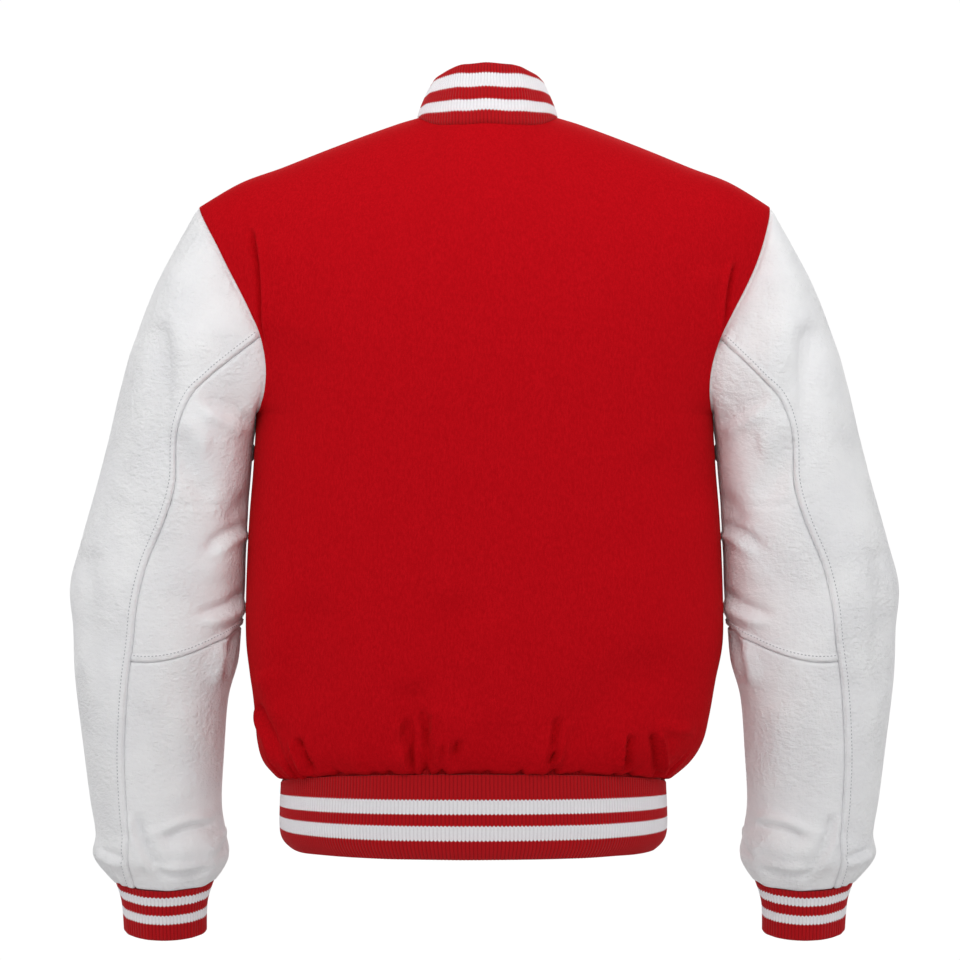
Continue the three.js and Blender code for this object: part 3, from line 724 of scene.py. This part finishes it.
def make_front(side):
    """A front runs from its side seam to the middle and on by the lap."""
    sign = 1 if side == "left" else -1
    lap = math.asin(LAP / TORSO["half"][0])

    def columns_at(level):
        past = -lap * np.arange(1, LAP_COLUMNS + 1) / LAP_COLUMNS
        return math.pi - sign * np.concatenate([half_columns(level, side)[::-1], past])

    def creases(x, z):
        away = smooth((np.abs(x) - LAP) / (2 * LAP))
        return FRONT_SHARE * away * crease_height(-x, z, WOOL_CREASES)

    name, node = f"wool_front_{side}", f"front_{side}"
    return body_panel(name, node, columns_at, side == "right", EDGE_FADE["front"], creases)


# Sleeves of white leather.

SLEEVE_ROWS = 214
UNDER_ROWS = 110
FOREARM_ROWS = 96
TOP_COLUMNS = 44
UNDER_COLUMNS = 26


def wrapped(column_at):
    return np.mod(column_at + ARMHOLE_ROWS, 2 * ARMHOLE_ROWS) - ARMHOLE_ROWS


def armhole_place(column_at, side):
    """Rise and angle of the body at the armhole, for columns of the sleeve."""
    sign = 1 if side == "left" else -1
    row = ARMHOLE_ROWS - np.abs(column_at)
    turn = sign * np.arcsin(np.clip(column(ARMHOLE, side, row), 0, 1))
    return column(ARMHOLE, "rise", row), np.where(column_at >= 0, turn, math.pi - turn)


def armhole_point(column_at, side):
    """The armhole at a column of the sleeve. The right one is mirrored to the left."""
    point = chest(*armhole_place(column_at, side))
    sign = 1 if side == "left" else -1
    return points(sign * point[..., 0] + ARMHOLE_CLEAR, point[..., 1], point[..., 2])


def armhole_tuck(column_at, side):
    """Rows of leather under the wool's edge at the armhole, in the sleeve's frame."""
    rise, turn = armhole_place(column_at, side)
    point, normal = chest(rise, turn), normal_of(chest, rise, turn, 0, 1)
    step = 0.02
    ahead, behind = [chest(*armhole_place(wrapped(column_at + way), side)) for way in (step, -step)]
    inward = unit(np.cross(normal, ahead - behind))
    if (inward[..., 0] * point[..., 0]).sum() > 0:
        inward = -inward
    mirror = np.array([1 if side == "left" else -1, 1, 1])
    return tuck_rows(point * mirror, normal * mirror, inward * mirror)


def section_point(index, column_at, side):
    """Points of the sleeve's sections, on the left side. Section 0 is the armhole."""
    rows = np.maximum(index - 1, 0)
    value = {name: values[rows] for name, values in SLEEVE.items()}
    seam = np.arccos(2 * value["seam"] - 1)
    count = np.abs(column_at)
    angle = np.where(
        count <= TOP_SHARE,
        seam * count / TOP_SHARE,
        mix(seam, math.pi, (count - TOP_SHARE) / UNDER_SHARE),
    )
    power = 2 / SLEEVE_SQUARENESS
    along = (1 + np.sign(np.cos(angle)) * np.abs(np.cos(angle)) ** power) / 2
    deep = np.abs(np.sin(angle)) ** power
    section = points(
        mix(value["inner_x"], value["outer_x"], along),
        value["y"] + np.sign(column_at) * value["deep"] * deep,
        mix(value["inner_z"], value["outer_z"], along) - value["sag"] * deep,
    )
    return np.where((index == 0)[..., None], armhole_point(column_at, side), section)


def sleeve(level, column_at, side):
    """The sleeve from level 0 at the armhole, at columns from the top, back positive."""
    column_at = wrapped(column_at)
    low = np.minimum(np.floor(level).astype(int), SLEEVE_LEVELS - 1)
    near = [section_point(np.clip(low + step, 0, SLEEVE_LEVELS), column_at, side) for step in (-1, 0, 1, 2)]
    return curve(*near, (level - low)[..., None])


def sleeve_outward(level, column_at, side):
    """Outward normal of the sleeve. At the armhole it leans away from the sleeve's
    inside no further than the body's edge allows."""

    def surface(at, across):
        return sleeve(at, across, side)

    normal = normal_of(surface, level, column_at, 0, SLEEVE_LEVELS)
    lean = normal[..., 0]
    normal[..., 0] = np.where(lean > 0, lean * np.clip(level, 0, 1), lean)
    return unit(normal)


def sleeve_height(level, column_at, base, normal):
    x, z = seen_from_behind(base)
    from_armhole = smooth(np.maximum(level, 0) / ARMHOLE_FADE)
    height = crease_height(x, z, LEATHER_CREASES)
    height *= LEATHER_CREASE_SHARE * from_armhole * side_fade(normal)
    across = wrapped(column_at)
    near_cuff = bump(level - SLEEVE_LEVELS + CUFF_GATHER_AT, CUFF_GATHER_SPAN)
    for middle, width, size in zip(*SLEEVE_GATHERS.values()):
        height += size * near_cuff * bump(across - middle, width)
    return height


def sleeve_panel(side, part, level, column_at, welts):
    """One leather panel from grids of levels and columns. Its welts are the edges
    that have a row of stitches beside them."""
    base = sleeve(level, column_at, side)
    normal = sleeve_outward(level, column_at, side)
    height = sleeve_height(level, column_at, base, normal)
    at_armhole = level[0, 0] == 0
    height += sunk(base, "first", LEATHER_SINK) + sunk(base, "last", LEATHER_SINK)
    height += sunk(base, "top", ARMHOLE_SINK if at_armhole else LEATHER_SINK)
    height += sunk(base, "bottom", LEATHER_SINK)
    for edge in welts:
        away = edge_distance(base, edge)
        raised = smooth(away / WELT_EDGES[0])
        raised *= smooth((STITCH_INSET + WELT_EDGES[0] - away) / WELT_EDGES[1])
        height += WELT_HEIGHT * raised - STITCH_GROOVE[0] * bump(away - STITCH_INSET, STITCH_GROOVE[1])
    outer = base + normal * height[..., None]
    depth = np.minimum(height, 0) * INNER_SHARE["leather"] - LEATHER_WALL
    inner = base + normal * depth[..., None]
    edges = ("first", "last", "bottom") if at_armhole else ("first", "last", "top", "bottom")
    outer, inner = cut_back(outer, edges), cut_back(inner, edges)
    paths = [stitch_path(outer, normal, edge) for edge in welts]
    tucks = 2 if at_armhole else 0
    if at_armhole:
        outer, inner = tucked((outer, inner), armhole_tuck(wrapped(column_at[0]), side))
    if side == "right":
        outer, inner = outer * (-1, 1, 1), inner * (-1, 1, 1)
        paths = [(way * (-1, 1, 1), up * (-1, 1, 1)) for way, up in paths]
    piece = shell(f"leather_{side}_{part}", outer, inner, rows_kept(len(outer), 3, tucks), LEATHER)
    return finished(piece, "leather", f"sleeve_{side}_{part}"), paths


def clustered(count, power):
    """Shares from 0 to 1 that lie closer together toward 1."""
    return 1 - (1 - np.linspace(0, 1, count + 1)) ** power


def elbow_level(column_at):
    share = (np.abs(column_at) - TOP_SHARE) / UNDER_SHARE
    return mix(ELBOW_AT_SEAM, ELBOW_AT_INNER, smooth(share))


def make_sleeve(side):
    half = TOP_SHARE * clustered(TOP_COLUMNS, 1.5)
    top_columns = np.concatenate([-half[:0:-1], half])
    first_rows = [0, 0.006, 0.015, 0.03, 0.05, 0.08]
    top_levels = np.concatenate([first_rows, np.linspace(0.11, SLEEVE_LEVELS, SLEEVE_ROWS)])
    level, column_at = np.meshgrid(top_levels, top_columns, indexing="ij")
    top, top_paths = sleeve_panel(side, "top", level, column_at, ("first", "last"))

    near_seam = UNDER_SHARE * (1 - clustered(UNDER_COLUMNS, 1.4)[::-1])
    under_columns = TOP_SHARE + np.concatenate([near_seam, 2 * UNDER_SHARE - near_seam[-2::-1]])
    folded = ARMHOLE_ROWS - np.abs(under_columns - ARMHOLE_ROWS)
    elbow = elbow_level(folded)
    upper = np.concatenate([first_rows[:-1], mix(0.05, 1, clustered(UNDER_ROWS, 1.25)) * ELBOW_AT_SEAM])
    share = np.unique(upper) / ELBOW_AT_SEAM
    level = share[:, None] * elbow[None]
    column_at = np.broadcast_to(under_columns, level.shape)
    under, under_paths = sleeve_panel(side, "under", level, column_at, ("bottom",))

    lower = np.linspace(0, 1, FOREARM_ROWS + 1) ** 1.2
    level = mix(elbow[None], SLEEVE_LEVELS, lower[:, None])
    column_at = np.broadcast_to(under_columns, level.shape)
    forearm, _ = sleeve_panel(side, "forearm", level, column_at, ())
    stitches = make_stitches(f"stitches_{side}", top_paths + under_paths)
    return top, under, forearm, stitches


def stitch_path(outer, normal, edge):
    """Line of points at the stitches' distance from an edge, with the way up there."""
    away = edge_distance(outer, edge)
    if edge in ("top", "bottom"):
        outer, normal, away = outer.swapaxes(0, 1), normal.swapaxes(0, 1), away.T
    line, up = [], []
    for row in range(len(outer)):
        order = np.argsort(away[row])
        near = away[row][order]
        line.append([np.interp(STITCH_INSET, near, outer[row][order, axis]) for axis in range(3)])
        up.append([np.interp(STITCH_INSET, near, normal[row][order, axis]) for axis in range(3)])
    return np.array(line), unit(np.array(up))


def stitch_form():
    """Points and faces of one stitch that lies along X: its ends dip into the leather."""
    sides, rings = 6, 5
    along = np.linspace(-1, 1, rings)
    round_turn = np.arange(sides) * 2 * math.pi / sides
    grid = []
    for at in along:
        radius = 0.25 + 0.75 * math.sqrt(1 - 0.9 * at * at)
        across = np.cos(round_turn) * STITCH["width"] / 2 * radius
        up = np.sin(round_turn) * STITCH["height"] * radius - 0.45 * at * at
        grid.append(points(at * STITCH["length"] / 2, across, up))
    faces = quads(0, sides, rings, True, False).tolist()
    faces += [list(range(sides))[::-1], list(range((rings - 1) * sides, rings * sides))]
    return np.concatenate(grid), faces


def make_stitches(name, paths):
    """Rows of stitches along paths, as one mesh."""
    form, form_faces = stitch_form()
    vertices, faces = [], []
    for line, up in paths:
        steps = np.linalg.norm(np.diff(line, axis=0), axis=1)
        along = np.concatenate([[0], np.cumsum(steps)])
        places = np.arange(STITCH_PITCH, along[-1] - STITCH_PITCH, STITCH_PITCH)
        for place in places:
            at = np.array([np.interp(place, along, line[:, axis]) for axis in range(3)])
            ahead = np.array([np.interp(place + 1, along, line[:, axis]) for axis in range(3)])
            rise = unit(np.array([np.interp(place, along, up[:, axis]) for axis in range(3)]))
            forward = unit(ahead - at)
            sideways = unit(np.cross(rise, forward))
            turned = np.stack([forward, sideways, np.cross(forward, sideways)])
            faces += [[index + len(form) * len(vertices) for index in face] for face in form_faces]
            vertices.append(at + form @ turned)
    piece = mesh_piece(name, np.concatenate(vertices) * MM, faces, SHADED_THREAD)
    return finished(piece, "leather")


# Rib knit of the collar, hem band and cuffs.

RIB_SAMPLES = 6

# Slow waves in the knit: the height, how many go round, and where each starts.
KNIT_WAVES = table(
    "size count start",
    (0.35, 5, 1),
    (0.25, 11, 2),
    (0.15, 17, 0),
)
HEM_STRIPES = (0.3, 0.463, 0.6, 0.768)
HEM_STRIPE_TILT = 0.14
COLLAR_STRIPES = (0.205, 0.386, 0.594, 0.821)
COLLAR_TILT = {"low": 0.21, "high": -0.125}
CUFF_STRIPES = (0.149, 0.317, 0.515, 0.687)


def rib_grid(ribs, around):
    count = ribs * RIB_SAMPLES
    return np.arange(count if around else count + 1) / RIB_SAMPLES


def rib_wall(name, surface, levels, turn_of, ribs, kind, around=False, tilt=None, tuck=None):
    """Wall of raised ribs over a plain inside, rounded where the knit is folded."""
    rib = rib_grid(ribs, around)
    level, count = np.meshgrid(levels, rib, indexing="ij")
    turn = turn_of(count)
    base = surface(level, turn)
    normal = normal_of(surface, level, turn, levels[0], levels[-1])
    middle = base.mean(axis=(0, 1)) - base
    if (normal * middle).sum() > 0:
        normal = -normal
    place = np.mod(count, 1)
    raised = RIB_HEIGHT * (1 - np.abs(2 * place - 1) ** RIB_ROUNDING) - RIB_HEIGHT / 2
    for size, count_round, start in zip(*KNIT_WAVES.values()):
        raised += size * np.sin(count_round * turn + start)
    fold = edge_distance(base, "bottom")
    radius = (KNIT_WALL + RIB_HEIGHT / 2) / 2
    held = np.clip(radius - fold, 0, radius)
    round_off = radius - np.sqrt(np.maximum(radius**2 - held**2, 0))
    outer = base + normal * (raised - round_off)[..., None]
    inner = base + normal * (round_off - KNIT_WALL)[..., None]
    outer, inner = cut_back(outer, ("top",)), cut_back(inner, ("top",))
    along = edge_distance(base, "top")
    share = along / along.max(axis=0, keepdims=True)
    if tilt is not None:
        share = share + tilt(turn, share)
    uv = np.stack([count, share], axis=-1)
    if tuck is None:
        near = base[0] - normal[0] * KNIT_TUCK
        far = near + unit(base[0] - base[1]) * TUCK_REACH
        wall = normal[0] * TUCK_WALL
        before = (far, near), (far - wall, near - wall)
    else:
        before = tuck(turn[0])
    outer, inner, uv = tucked((outer, inner, uv), (*before, (uv[0], uv[0])))
    return shell(name, outer, inner, rows_kept(len(outer), 3, 2), kind, around, uv)


def fold_levels(last, count, power):
    """Levels from a seam to a fold, closer together toward the fold."""
    return last * clustered(count, power)


def make_hem():
    lap = math.asin(LAP / HEM["half"][0])
    whole = 2 * (math.pi + lap)

    def turn_of(count):
        return math.pi + lap - whole * count / HEM_RIBS

    def surface(level, turn):
        def plain(at, angle):
            return ring(HEM, at, angle)

        point = plain(level, turn)
        normal = -normal_of(plain, level, turn, 0, 2)
        depth = np.where(turn < 0, lap_depth(point[..., 0], turn, HEM_LAP_DEPTH), 0)
        return point - normal * depth[..., None]

    def tilt(turn, _):
        return HEM_STRIPE_TILT * (1 - ring_fullness(np.abs(np.sin(turn)), TORSO_SQUARENESS))

    piece = rib_wall(
        "knit_hem", surface, fold_levels(2, 24, 1.6), turn_of, HEM_RIBS, KNIT_HEM, tilt=tilt
    )
    return finished(piece, "rib_knit", "hem_band")


def collar_height(turn):
    share = np.abs(turn) / QUARTER
    rounded = smooth((COLLAR_END - np.abs(turn)) / COLLAR_ROUNDING)
    arch = 1 - np.abs(np.sin(turn)) ** COLLAR_ARCH
    height = np.where(
        share < 1,
        mix(COLLAR_HEIGHT["side"], COLLAR_HEIGHT["back"], arch),
        mix(COLLAR_HEIGHT["side"], COLLAR_HEIGHT["front"], smooth(share - 1)),
    )
    return mix(COLLAR_HEIGHT["end"], height, rounded)


def collar_point(level, turn):
    """The collar stands on the neckline and leans in as it rises."""
    outward = COLLAR_OUT - COLLAR_LEAN * level**COLLAR_CURL
    return neck_point(turn) + points(
        np.sin(turn) * outward, np.cos(turn) * outward, COLLAR_CLEAR + collar_height(turn) * level
    )


def make_collar():
    def turn_of(count):
        return COLLAR_END * (2 * count / COLLAR_RIBS - 1)

    def tilt(turn, share):
        reach = np.abs(np.sin(turn))
        low, high = COLLAR_TILT["low"] * reach**9, COLLAR_TILT["high"] * reach**2
        return mix(low, high, share)

    def tuck(turn):
        body_turn = neck_turn_of(turn)
        rise = neck_rise(body_turn)
        point = chest(rise, body_turn)
        inward = unit(chest(rise - 0.01, body_turn) - point)
        return tuck_rows(point, normal_of(chest, rise, body_turn, 0, 1), inward)

    levels = fold_levels(1, 22, 1.4)
    piece = rib_wall(
        "knit_collar", collar_point, levels, turn_of, COLLAR_RIBS, KNIT_COLLAR, tilt=tilt, tuck=tuck
    )
    return finished(piece, "rib_knit", "collar")


def make_cuff(side):
    sign = 1 if side == "left" else -1

    def turn_of(count):
        return 2 * math.pi * count / CUFF_RIBS

    def surface(level, turn):
        deep = np.abs(np.sin(turn))
        return points(
            sign * (column(CUFF, "x", level) + column(CUFF, "half", level) * np.cos(turn)),
            column(CUFF, "y", level) + column(CUFF, "deep", level) * np.sin(turn),
            mix(column(CUFF, "side", level), column(CUFF, "middle", level), deep),
        )

    piece = rib_wall(
        f"knit_cuff_{side}", surface, fold_levels(2, 20, 1.6), turn_of, CUFF_RIBS, KNIT_CUFF, around=True
    )
    return finished(piece, "rib_knit", f"cuff_{side}")


# Snap caps down the front.

SNAP_PROFILE = table(
    "reach height",
    (0, 0),
    (0.97, 0),
    (1, 0.06),
    (1, 0.3),
    (0.96, 0.42),
    (0.88, 0.46),
    (0.84, 0.42),
    (0.8, 0.5),
    (0.65, 0.76),
    (0.4, 0.93),
    (0, 1),
)
SNAP_SIDES = 48


def make_snap(number):
    """Domed cap with a rim, at the place of its solid."""
    node = f"snap_{number}"
    height = mix(SNAP_FIRST, SNAP_LAST, (number - 1) / (SNAP_COUNT - 1))
    if number == SNAP_COUNT:
        level = np.linspace(0, 2, 400)
        line = ring(HEM, level, np.full_like(level, math.pi))
    else:
        above = np.linspace(1, 0, 400)[:-1]
        turn = np.full_like(above, math.pi)
        below = np.linspace(0, TORSO_ROWS, 400)
        line = np.concatenate([
            chest(above * neck_rise(turn), turn),
            ring(TORSO, below, np.full_like(below, math.pi)),
        ])
    at = int(np.argmin(np.abs(line[:, 2] - height)))
    down = line[min(at + 3, len(line) - 1)] - line[max(at - 3, 0)]
    normal = unit(np.array([0, down[2], -down[1]]))
    lift = SEAM_GAP + RIB_HEIGHT / 2 if number == SNAP_COUNT else SNAP_LIFT
    seat = line[at] + normal * lift
    side = np.array([1.0, 0, 0])
    other = np.cross(normal, side)
    turn = np.arange(SNAP_SIDES) * 2 * math.pi / SNAP_SIDES
    grid = []
    for reach, rise in zip(*SNAP_PROFILE.values()):
        ring_line = np.outer(np.cos(turn), side) + np.outer(np.sin(turn), other)
        grid.append(seat + SNAP_RADIUS * max(reach, 0.01) * ring_line + SNAP_RISE * rise * normal)
    faces = quads(0, SNAP_SIDES, len(grid), True, False).tolist()
    last = (len(grid) - 1) * SNAP_SIDES
    faces += [list(range(SNAP_SIDES))[::-1], list(range(last, last + SNAP_SIDES))]
    piece = mesh_piece(f"snap_cap_{number}", np.concatenate(grid) * MM, faces, SNAP)
    return finished(piece, "snap", node)


# Materials. Texture scales are counts in a metre.


class Shader:
    """A node material and its parts, joined by short calls."""

    def __init__(self, name, roughness):
        self.material = bpy.data.materials.new(name)
        self.material.use_nodes = True
        self.tree = self.material.node_tree
        self.surface = self.tree.nodes["Principled BSDF"]
        self.surface.inputs["Roughness"].default_value = roughness
        self.place = self.add("ShaderNodeTexCoord").outputs["Object"]

    def add(self, kind, values=(), **settings):
        node = self.tree.nodes.new(kind)
        for name, value in settings.items():
            setattr(node, name, value)
        for socket, value in dict(values).items():
            self.put(node.inputs[socket], value)
        return node

    def put(self, socket, value):
        if isinstance(value, bpy.types.NodeSocket):
            self.tree.links.new(value, socket)
        else:
            socket.default_value = value

    def dress(self, values):
        """Gives sockets of the surface their values or links."""
        for name, value in values.items():
            self.put(self.surface.inputs[name], value)

    def noise(self, scale, detail=2.0, roughness=0.5, place=None):
        values = {"Vector": place or self.place, "Scale": scale, "Detail": detail, "Roughness": roughness}
        return self.add("ShaderNodeTexNoise", values).outputs["Fac"]

    def stretched(self, x, y, z):
        values = {0: self.place, 1: (x, y, z)}
        return self.add("ShaderNodeVectorMath", values, operation="MULTIPLY").outputs[0]

    def math(self, operation, first, second=0.0, third=0.0):
        return self.add("ShaderNodeMath", {0: first, 1: second, 2: third}, operation=operation).outputs[0]

    def span(self, value, low, high, start=0.0, end=1.0):
        values = {"Value": value, "From Min": low, "From Max": high, "To Min": start, "To Max": end}
        return self.add("ShaderNodeMapRange", values, interpolation_type="SMOOTHSTEP").outputs["Result"]

    def blend(self, share, first, second, kind="MIX"):
        node = self.add("ShaderNodeMix", data_type="RGBA", blend_type=kind)
        for socket, value in ((node.inputs[0], share), (node.inputs[6], first), (node.inputs[7], second)):
            self.put(socket, value)
        return node.outputs[2]

    def bumped(self, height, depth, strength, normal=None):
        values = {"Height": height, "Distance": depth, "Strength": strength}
        node = self.add("ShaderNodeBump", values)
        if normal is not None:
            self.put(node.inputs["Normal"], normal)
        return node.outputs["Normal"]


def colour(code):
    """Linear colour of a six-digit code."""
    parts = [int(code[at : at + 2], 16) / 255 for at in (0, 2, 4)]
    linear = [part / 12.92 if part <= 0.04045 else ((part + 0.055) / 1.055) ** 2.4 for part in parts]
    return (*linear, 1.0)


def wool_material():
    """Felted wool: a short nap with fine soft fibres lying over it."""
    made = Shader("melton_wool", 0.95)
    fine = made.noise(1900, 3, 0.7)
    fibre = made.noise(620, 4, 0.7, made.stretched(1.0, 1.0, 0.4))
    cloud = made.noise(30, 3, 0.5)
    nap = made.math("ADD", made.math("MULTIPLY", fine, 0.5), made.math("MULTIPLY", fibre, 0.5))
    red = made.blend(made.span(nap, 0.38, 0.64), colour("AC0610"), colour("C40D18"))
    red = made.blend(made.span(cloud, 0.35, 0.7, 0.0, 0.12), red, colour("B4060F"))
    soft = made.bumped(cloud, 0.0012, 0.2)
    made.dress({
        "Base Color": red,
        "Sheen Weight": 0.1,
        "Sheen Roughness": 0.4,
        "Sheen Tint": colour("FF4A40"),
        "Specular IOR Level": 0.04,
        "Normal": made.bumped(nap, 0.0003, 0.5, soft),
    })
    return made.material


def leather_material():
    """White leather: pebbled grain and fine wrinkles, stronger in patches."""
    made = Shader("white_leather", 0.46)
    cells = made.add("ShaderNodeTexVoronoi", {"Vector": made.place, "Scale": 720}, feature="SMOOTH_F1")
    distance = cells.outputs["Distance"]
    grain = made.math("ADD", made.math("MULTIPLY", distance, 0.7), made.noise(1500, 2, 0.6))
    patch = made.span(made.noise(15, 2, 0.5), 0.36, 0.66)
    lines = made.noise(230, 4, 0.66, made.stretched(0.7, 1.0, 1.3))
    cross = made.noise(110, 3, 0.6, made.stretched(1.3, 1.0, 0.7))
    cloud = made.noise(24, 3, 0.5)
    white = made.blend(made.span(cloud, 0.3, 0.7), colour("F0F0F2"), colour("F6F6F7"))
    pore = made.span(distance, 0.55, 0.95, 0.0, 0.12)
    fold = made.math("ADD", lines, made.math("MULTIPLY", cross, 0.8))
    wrinkle = made.math("MULTIPLY", fold, made.math("MULTIPLY_ADD", patch, 0.9, 0.5))
    soft = made.bumped(wrinkle, 0.0036, 0.6)
    made.dress({
        "Base Color": made.blend(pore, white, colour("C2C2C6")),
        "Roughness": made.span(grain, 0.5, 1.2, 0.42, 0.58),
        "Specular IOR Level": 0.4,
        "Sheen Weight": 0.04,
        "Normal": made.bumped(grain, 0.0003, 0.5, soft),
    })
    return made.material


STRIPE_TEETH = 0.6
# Painted shade in the knit's rib valleys: how much the colour darkens there, in the red and in the white
# stripes.
RED_GROOVE_SHADE, WHITE_GROOVE_SHADE = 0.36, 0.12


def knit_material(name, stripes, courses):
    """Ribbed knit with two white stripes, whose edges step from rib to rib, with painted shade darkening
    the valleys between the ribs.
    """
    made = Shader(name, 0.88)
    place = made.add("ShaderNodeUVMap", uv_map="ribs").outputs["UV"]
    parts = made.add("ShaderNodeSeparateXYZ", {0: place}).outputs
    across = made.math("ABSOLUTE", made.math("MULTIPLY_ADD", made.math("FRACT", parts[0]), 2.0, -1.0))
    step = made.math("MULTIPLY", across, STRIPE_TEETH / courses)
    ramp = made.add("ShaderNodeValToRGB", {0: made.math("ADD", parts[1], step)})
    ramp.color_ramp.interpolation = "CONSTANT"
    red, white = colour("B60A14"), colour("F2F0F3")
    first, second = ramp.color_ramp.elements[0], ramp.color_ramp.elements[1]
    first.position, first.color = 0.0, red
    second.position, second.color = stripes[0], white
    for position, tone in zip(stripes[1:], (red, white, red)):
        ramp.color_ramp.elements.new(position).color = tone
    white_share = made.add("ShaderNodeSeparateColor", {0: ramp.outputs["Color"]}).outputs[1]
    # Painted shade: the stripes' colour is darkened toward each valley between the ribs, more in the red
    # than in the white.
    depth = made.math("MULTIPLY_ADD", white_share, WHITE_GROOVE_SHADE - RED_GROOVE_SHADE, RED_GROOVE_SHADE)
    groove_shade = made.math("MULTIPLY", made.span(across, 0.5, 1.0), depth)
    shaded_stripes = made.blend(groove_shade, ramp.outputs["Color"], colour("8A6A70"), "MULTIPLY")
    yarn = made.noise(1400, 3, 0.6)
    fleck = made.span(yarn, 0.45, 0.75, 0.0, 0.16)
    climb = made.math("MULTIPLY_ADD", parts[1], float(courses), across)
    loop = made.math("ABSOLUTE", made.math("MULTIPLY_ADD", made.math("FRACT", climb), 2.0, -1.0))
    coarse = made.bumped(loop, 0.0004, 0.5)
    made.dress({
        "Base Color": made.blend(fleck, shaded_stripes, colour("B4A4A8"), "MULTIPLY"),
        "Sheen Weight": 0.1,
        "Sheen Roughness": 0.5,
        "Specular IOR Level": 0.15,
        "Normal": made.bumped(yarn, 0.0003, 0.5, coarse),
    })
    return made.material


def shaded_thread_material():
    """White thread, twisted, coloured grey as painted shade for the groove that the stitches lie in."""
    made = Shader("thread_painted_shade", 0.6)
    twist = made.noise(2600, 2, 0.6, made.stretched(1.0, 1.0, 0.5))
    made.dress({
        # Painted shade: the thread is grey rather than white, for the shade along the rows of stitches.
        "Base Color": made.blend(made.span(twist, 0.4, 0.6), colour("A8A8AE"), colour("C4C4C8")),
        "Normal": made.bumped(twist, 0.0002, 0.5),
    })
    return made.material


def snap_material():
    """White enamel over metal, a little uneven and rubbed."""
    made = Shader("snap_enamel", 0.28)
    cloud = made.noise(420, 3, 0.6)
    made.dress({
        "Base Color": made.blend(made.span(cloud, 0.4, 0.7), colour("E8E8EA"), colour("D4D4D8")),
        "Roughness": made.span(cloud, 0.35, 0.7, 0.22, 0.36),
        "Coat Weight": 0.4,
        "Normal": made.bumped(cloud, 0.0002, 0.15),
    })
    return made.material


WOOL = wool_material()
LEATHER = leather_material()
SHADED_THREAD = shaded_thread_material()
SNAP = snap_material()
KNIT_HEM = knit_material("knit_hem", HEM_STRIPES, 34)
KNIT_COLLAR = knit_material("knit_collar", COLLAR_STRIPES, 24)
KNIT_CUFF = knit_material("knit_cuff", CUFF_STRIPES, 22)


# The picture: a pale floor, soft light all round and the photograph's camera.


def make_camera():
    lens = bpy.data.cameras.new("camera")
    lens.sensor_width = SENSOR
    lens.lens = SENSOR * CAMERA_AT[1] / FRAME_WIDTH
    lens.clip_end = 100
    camera = bpy.data.objects.new("camera", lens)
    camera.location = Vector(CAMERA_AT) * MM
    camera.rotation_euler = (QUARTER, 0, math.pi)
    bpy.context.scene.collection.objects.link(camera)
    bpy.context.scene.camera = camera


def make_light(name, at, aim, power):
    """A square soft light with a grid over it."""
    light = bpy.data.lights.new(name, "AREA")
    light.shape = "SQUARE"
    light.size = LIGHT_SIZE
    light.spread = LIGHT_SPREAD
    light.energy = power
    lamp = bpy.data.objects.new(name, light)
    lamp.location = at
    lamp.rotation_euler = (Vector(aim) - Vector(at)).to_track_quat("-Z", "Y").to_euler()
    lamp.visible_camera = False
    bpy.context.scene.collection.objects.link(lamp)


def make_floor():
    """A round pale floor, well below the jacket, as the photograph shows none."""
    made = Shader("pale_floor", 0.9)
    cloud = made.noise(3, 2, 0.5)
    made.dress({"Base Color": made.blend(cloud, colour("F0F0F0"), colour("F6F6F6"))})
    turn = np.arange(FLOOR_SIDES) * 2 * math.pi / FLOOR_SIDES
    rim = points(FLOOR_RADIUS * np.cos(turn), FLOOR_RADIUS * np.sin(turn), FLOOR_Z) * MM
    mesh = bpy.data.meshes.new("floor")
    mesh.from_pydata(rim.tolist(), [], [list(range(FLOOR_SIDES))])
    mesh.materials.append(made.material)
    floor = bpy.data.objects.new("floor", mesh)
    bpy.context.scene.collection.objects.link(floor)


def make_surroundings():
    """A studio that is white round the horizon and dimmer above and below it."""
    world = bpy.data.worlds.new("studio")
    world.use_nodes = True
    tree = world.node_tree
    place = tree.nodes.new("ShaderNodeTexCoord")
    parts = tree.nodes.new("ShaderNodeSeparateXYZ")
    ramp = tree.nodes.new("ShaderNodeValToRGB")
    shift = tree.nodes.new("ShaderNodeMapRange")
    shift.inputs["From Min"].default_value = -1
    first, second = ramp.color_ramp.elements
    for element, (height, level) in zip((first, second), STUDIO_LEVELS[:2]):
        element.position, element.color = (height + 1) / 2, (level, level, level, 1)
    for height, level in STUDIO_LEVELS[2:]:
        ramp.color_ramp.elements.new((height + 1) / 2).color = (level, level, level, 1)
    tree.links.new(place.outputs["Generated"], parts.inputs[0])
    tree.links.new(parts.outputs["Z"], shift.inputs["Value"])
    tree.links.new(shift.outputs["Result"], ramp.inputs[0])
    tree.links.new(ramp.outputs["Color"], tree.nodes["Background"].inputs["Strength"])
    tree.nodes["Background"].inputs["Color"].default_value = (1, 1, 1, 1)
    bpy.context.scene.world = world
    bpy.context.scene.view_settings.view_transform = "Standard"
    bpy.context.scene.view_settings.look = "None"


make_camera()
make_surroundings()
make_floor()
make_light("back_key", (0.1, 2.2, 1.7), KEY_AIM, KEY_POWER)
make_light("front_key", (-0.3, -2.2, 1.7), KEY_AIM, KEY_POWER)
for side, sign in (("left", 1), ("right", -1)):
    make_light(f"{side}_fill", (2.0 * sign, 0.6, 1.1), (0.3 * sign, 0, -0.3), FILL_POWER)

back = make_back()
fronts = [make_front("left"), make_front("right")]
sleeves = [make_sleeve("left"), make_sleeve("right")]
collar = make_collar()
hem = make_hem()
cuffs = [make_cuff("left"), make_cuff("right")]
for number in range(1, SNAP_COUNT + 1):
    make_snap(number)
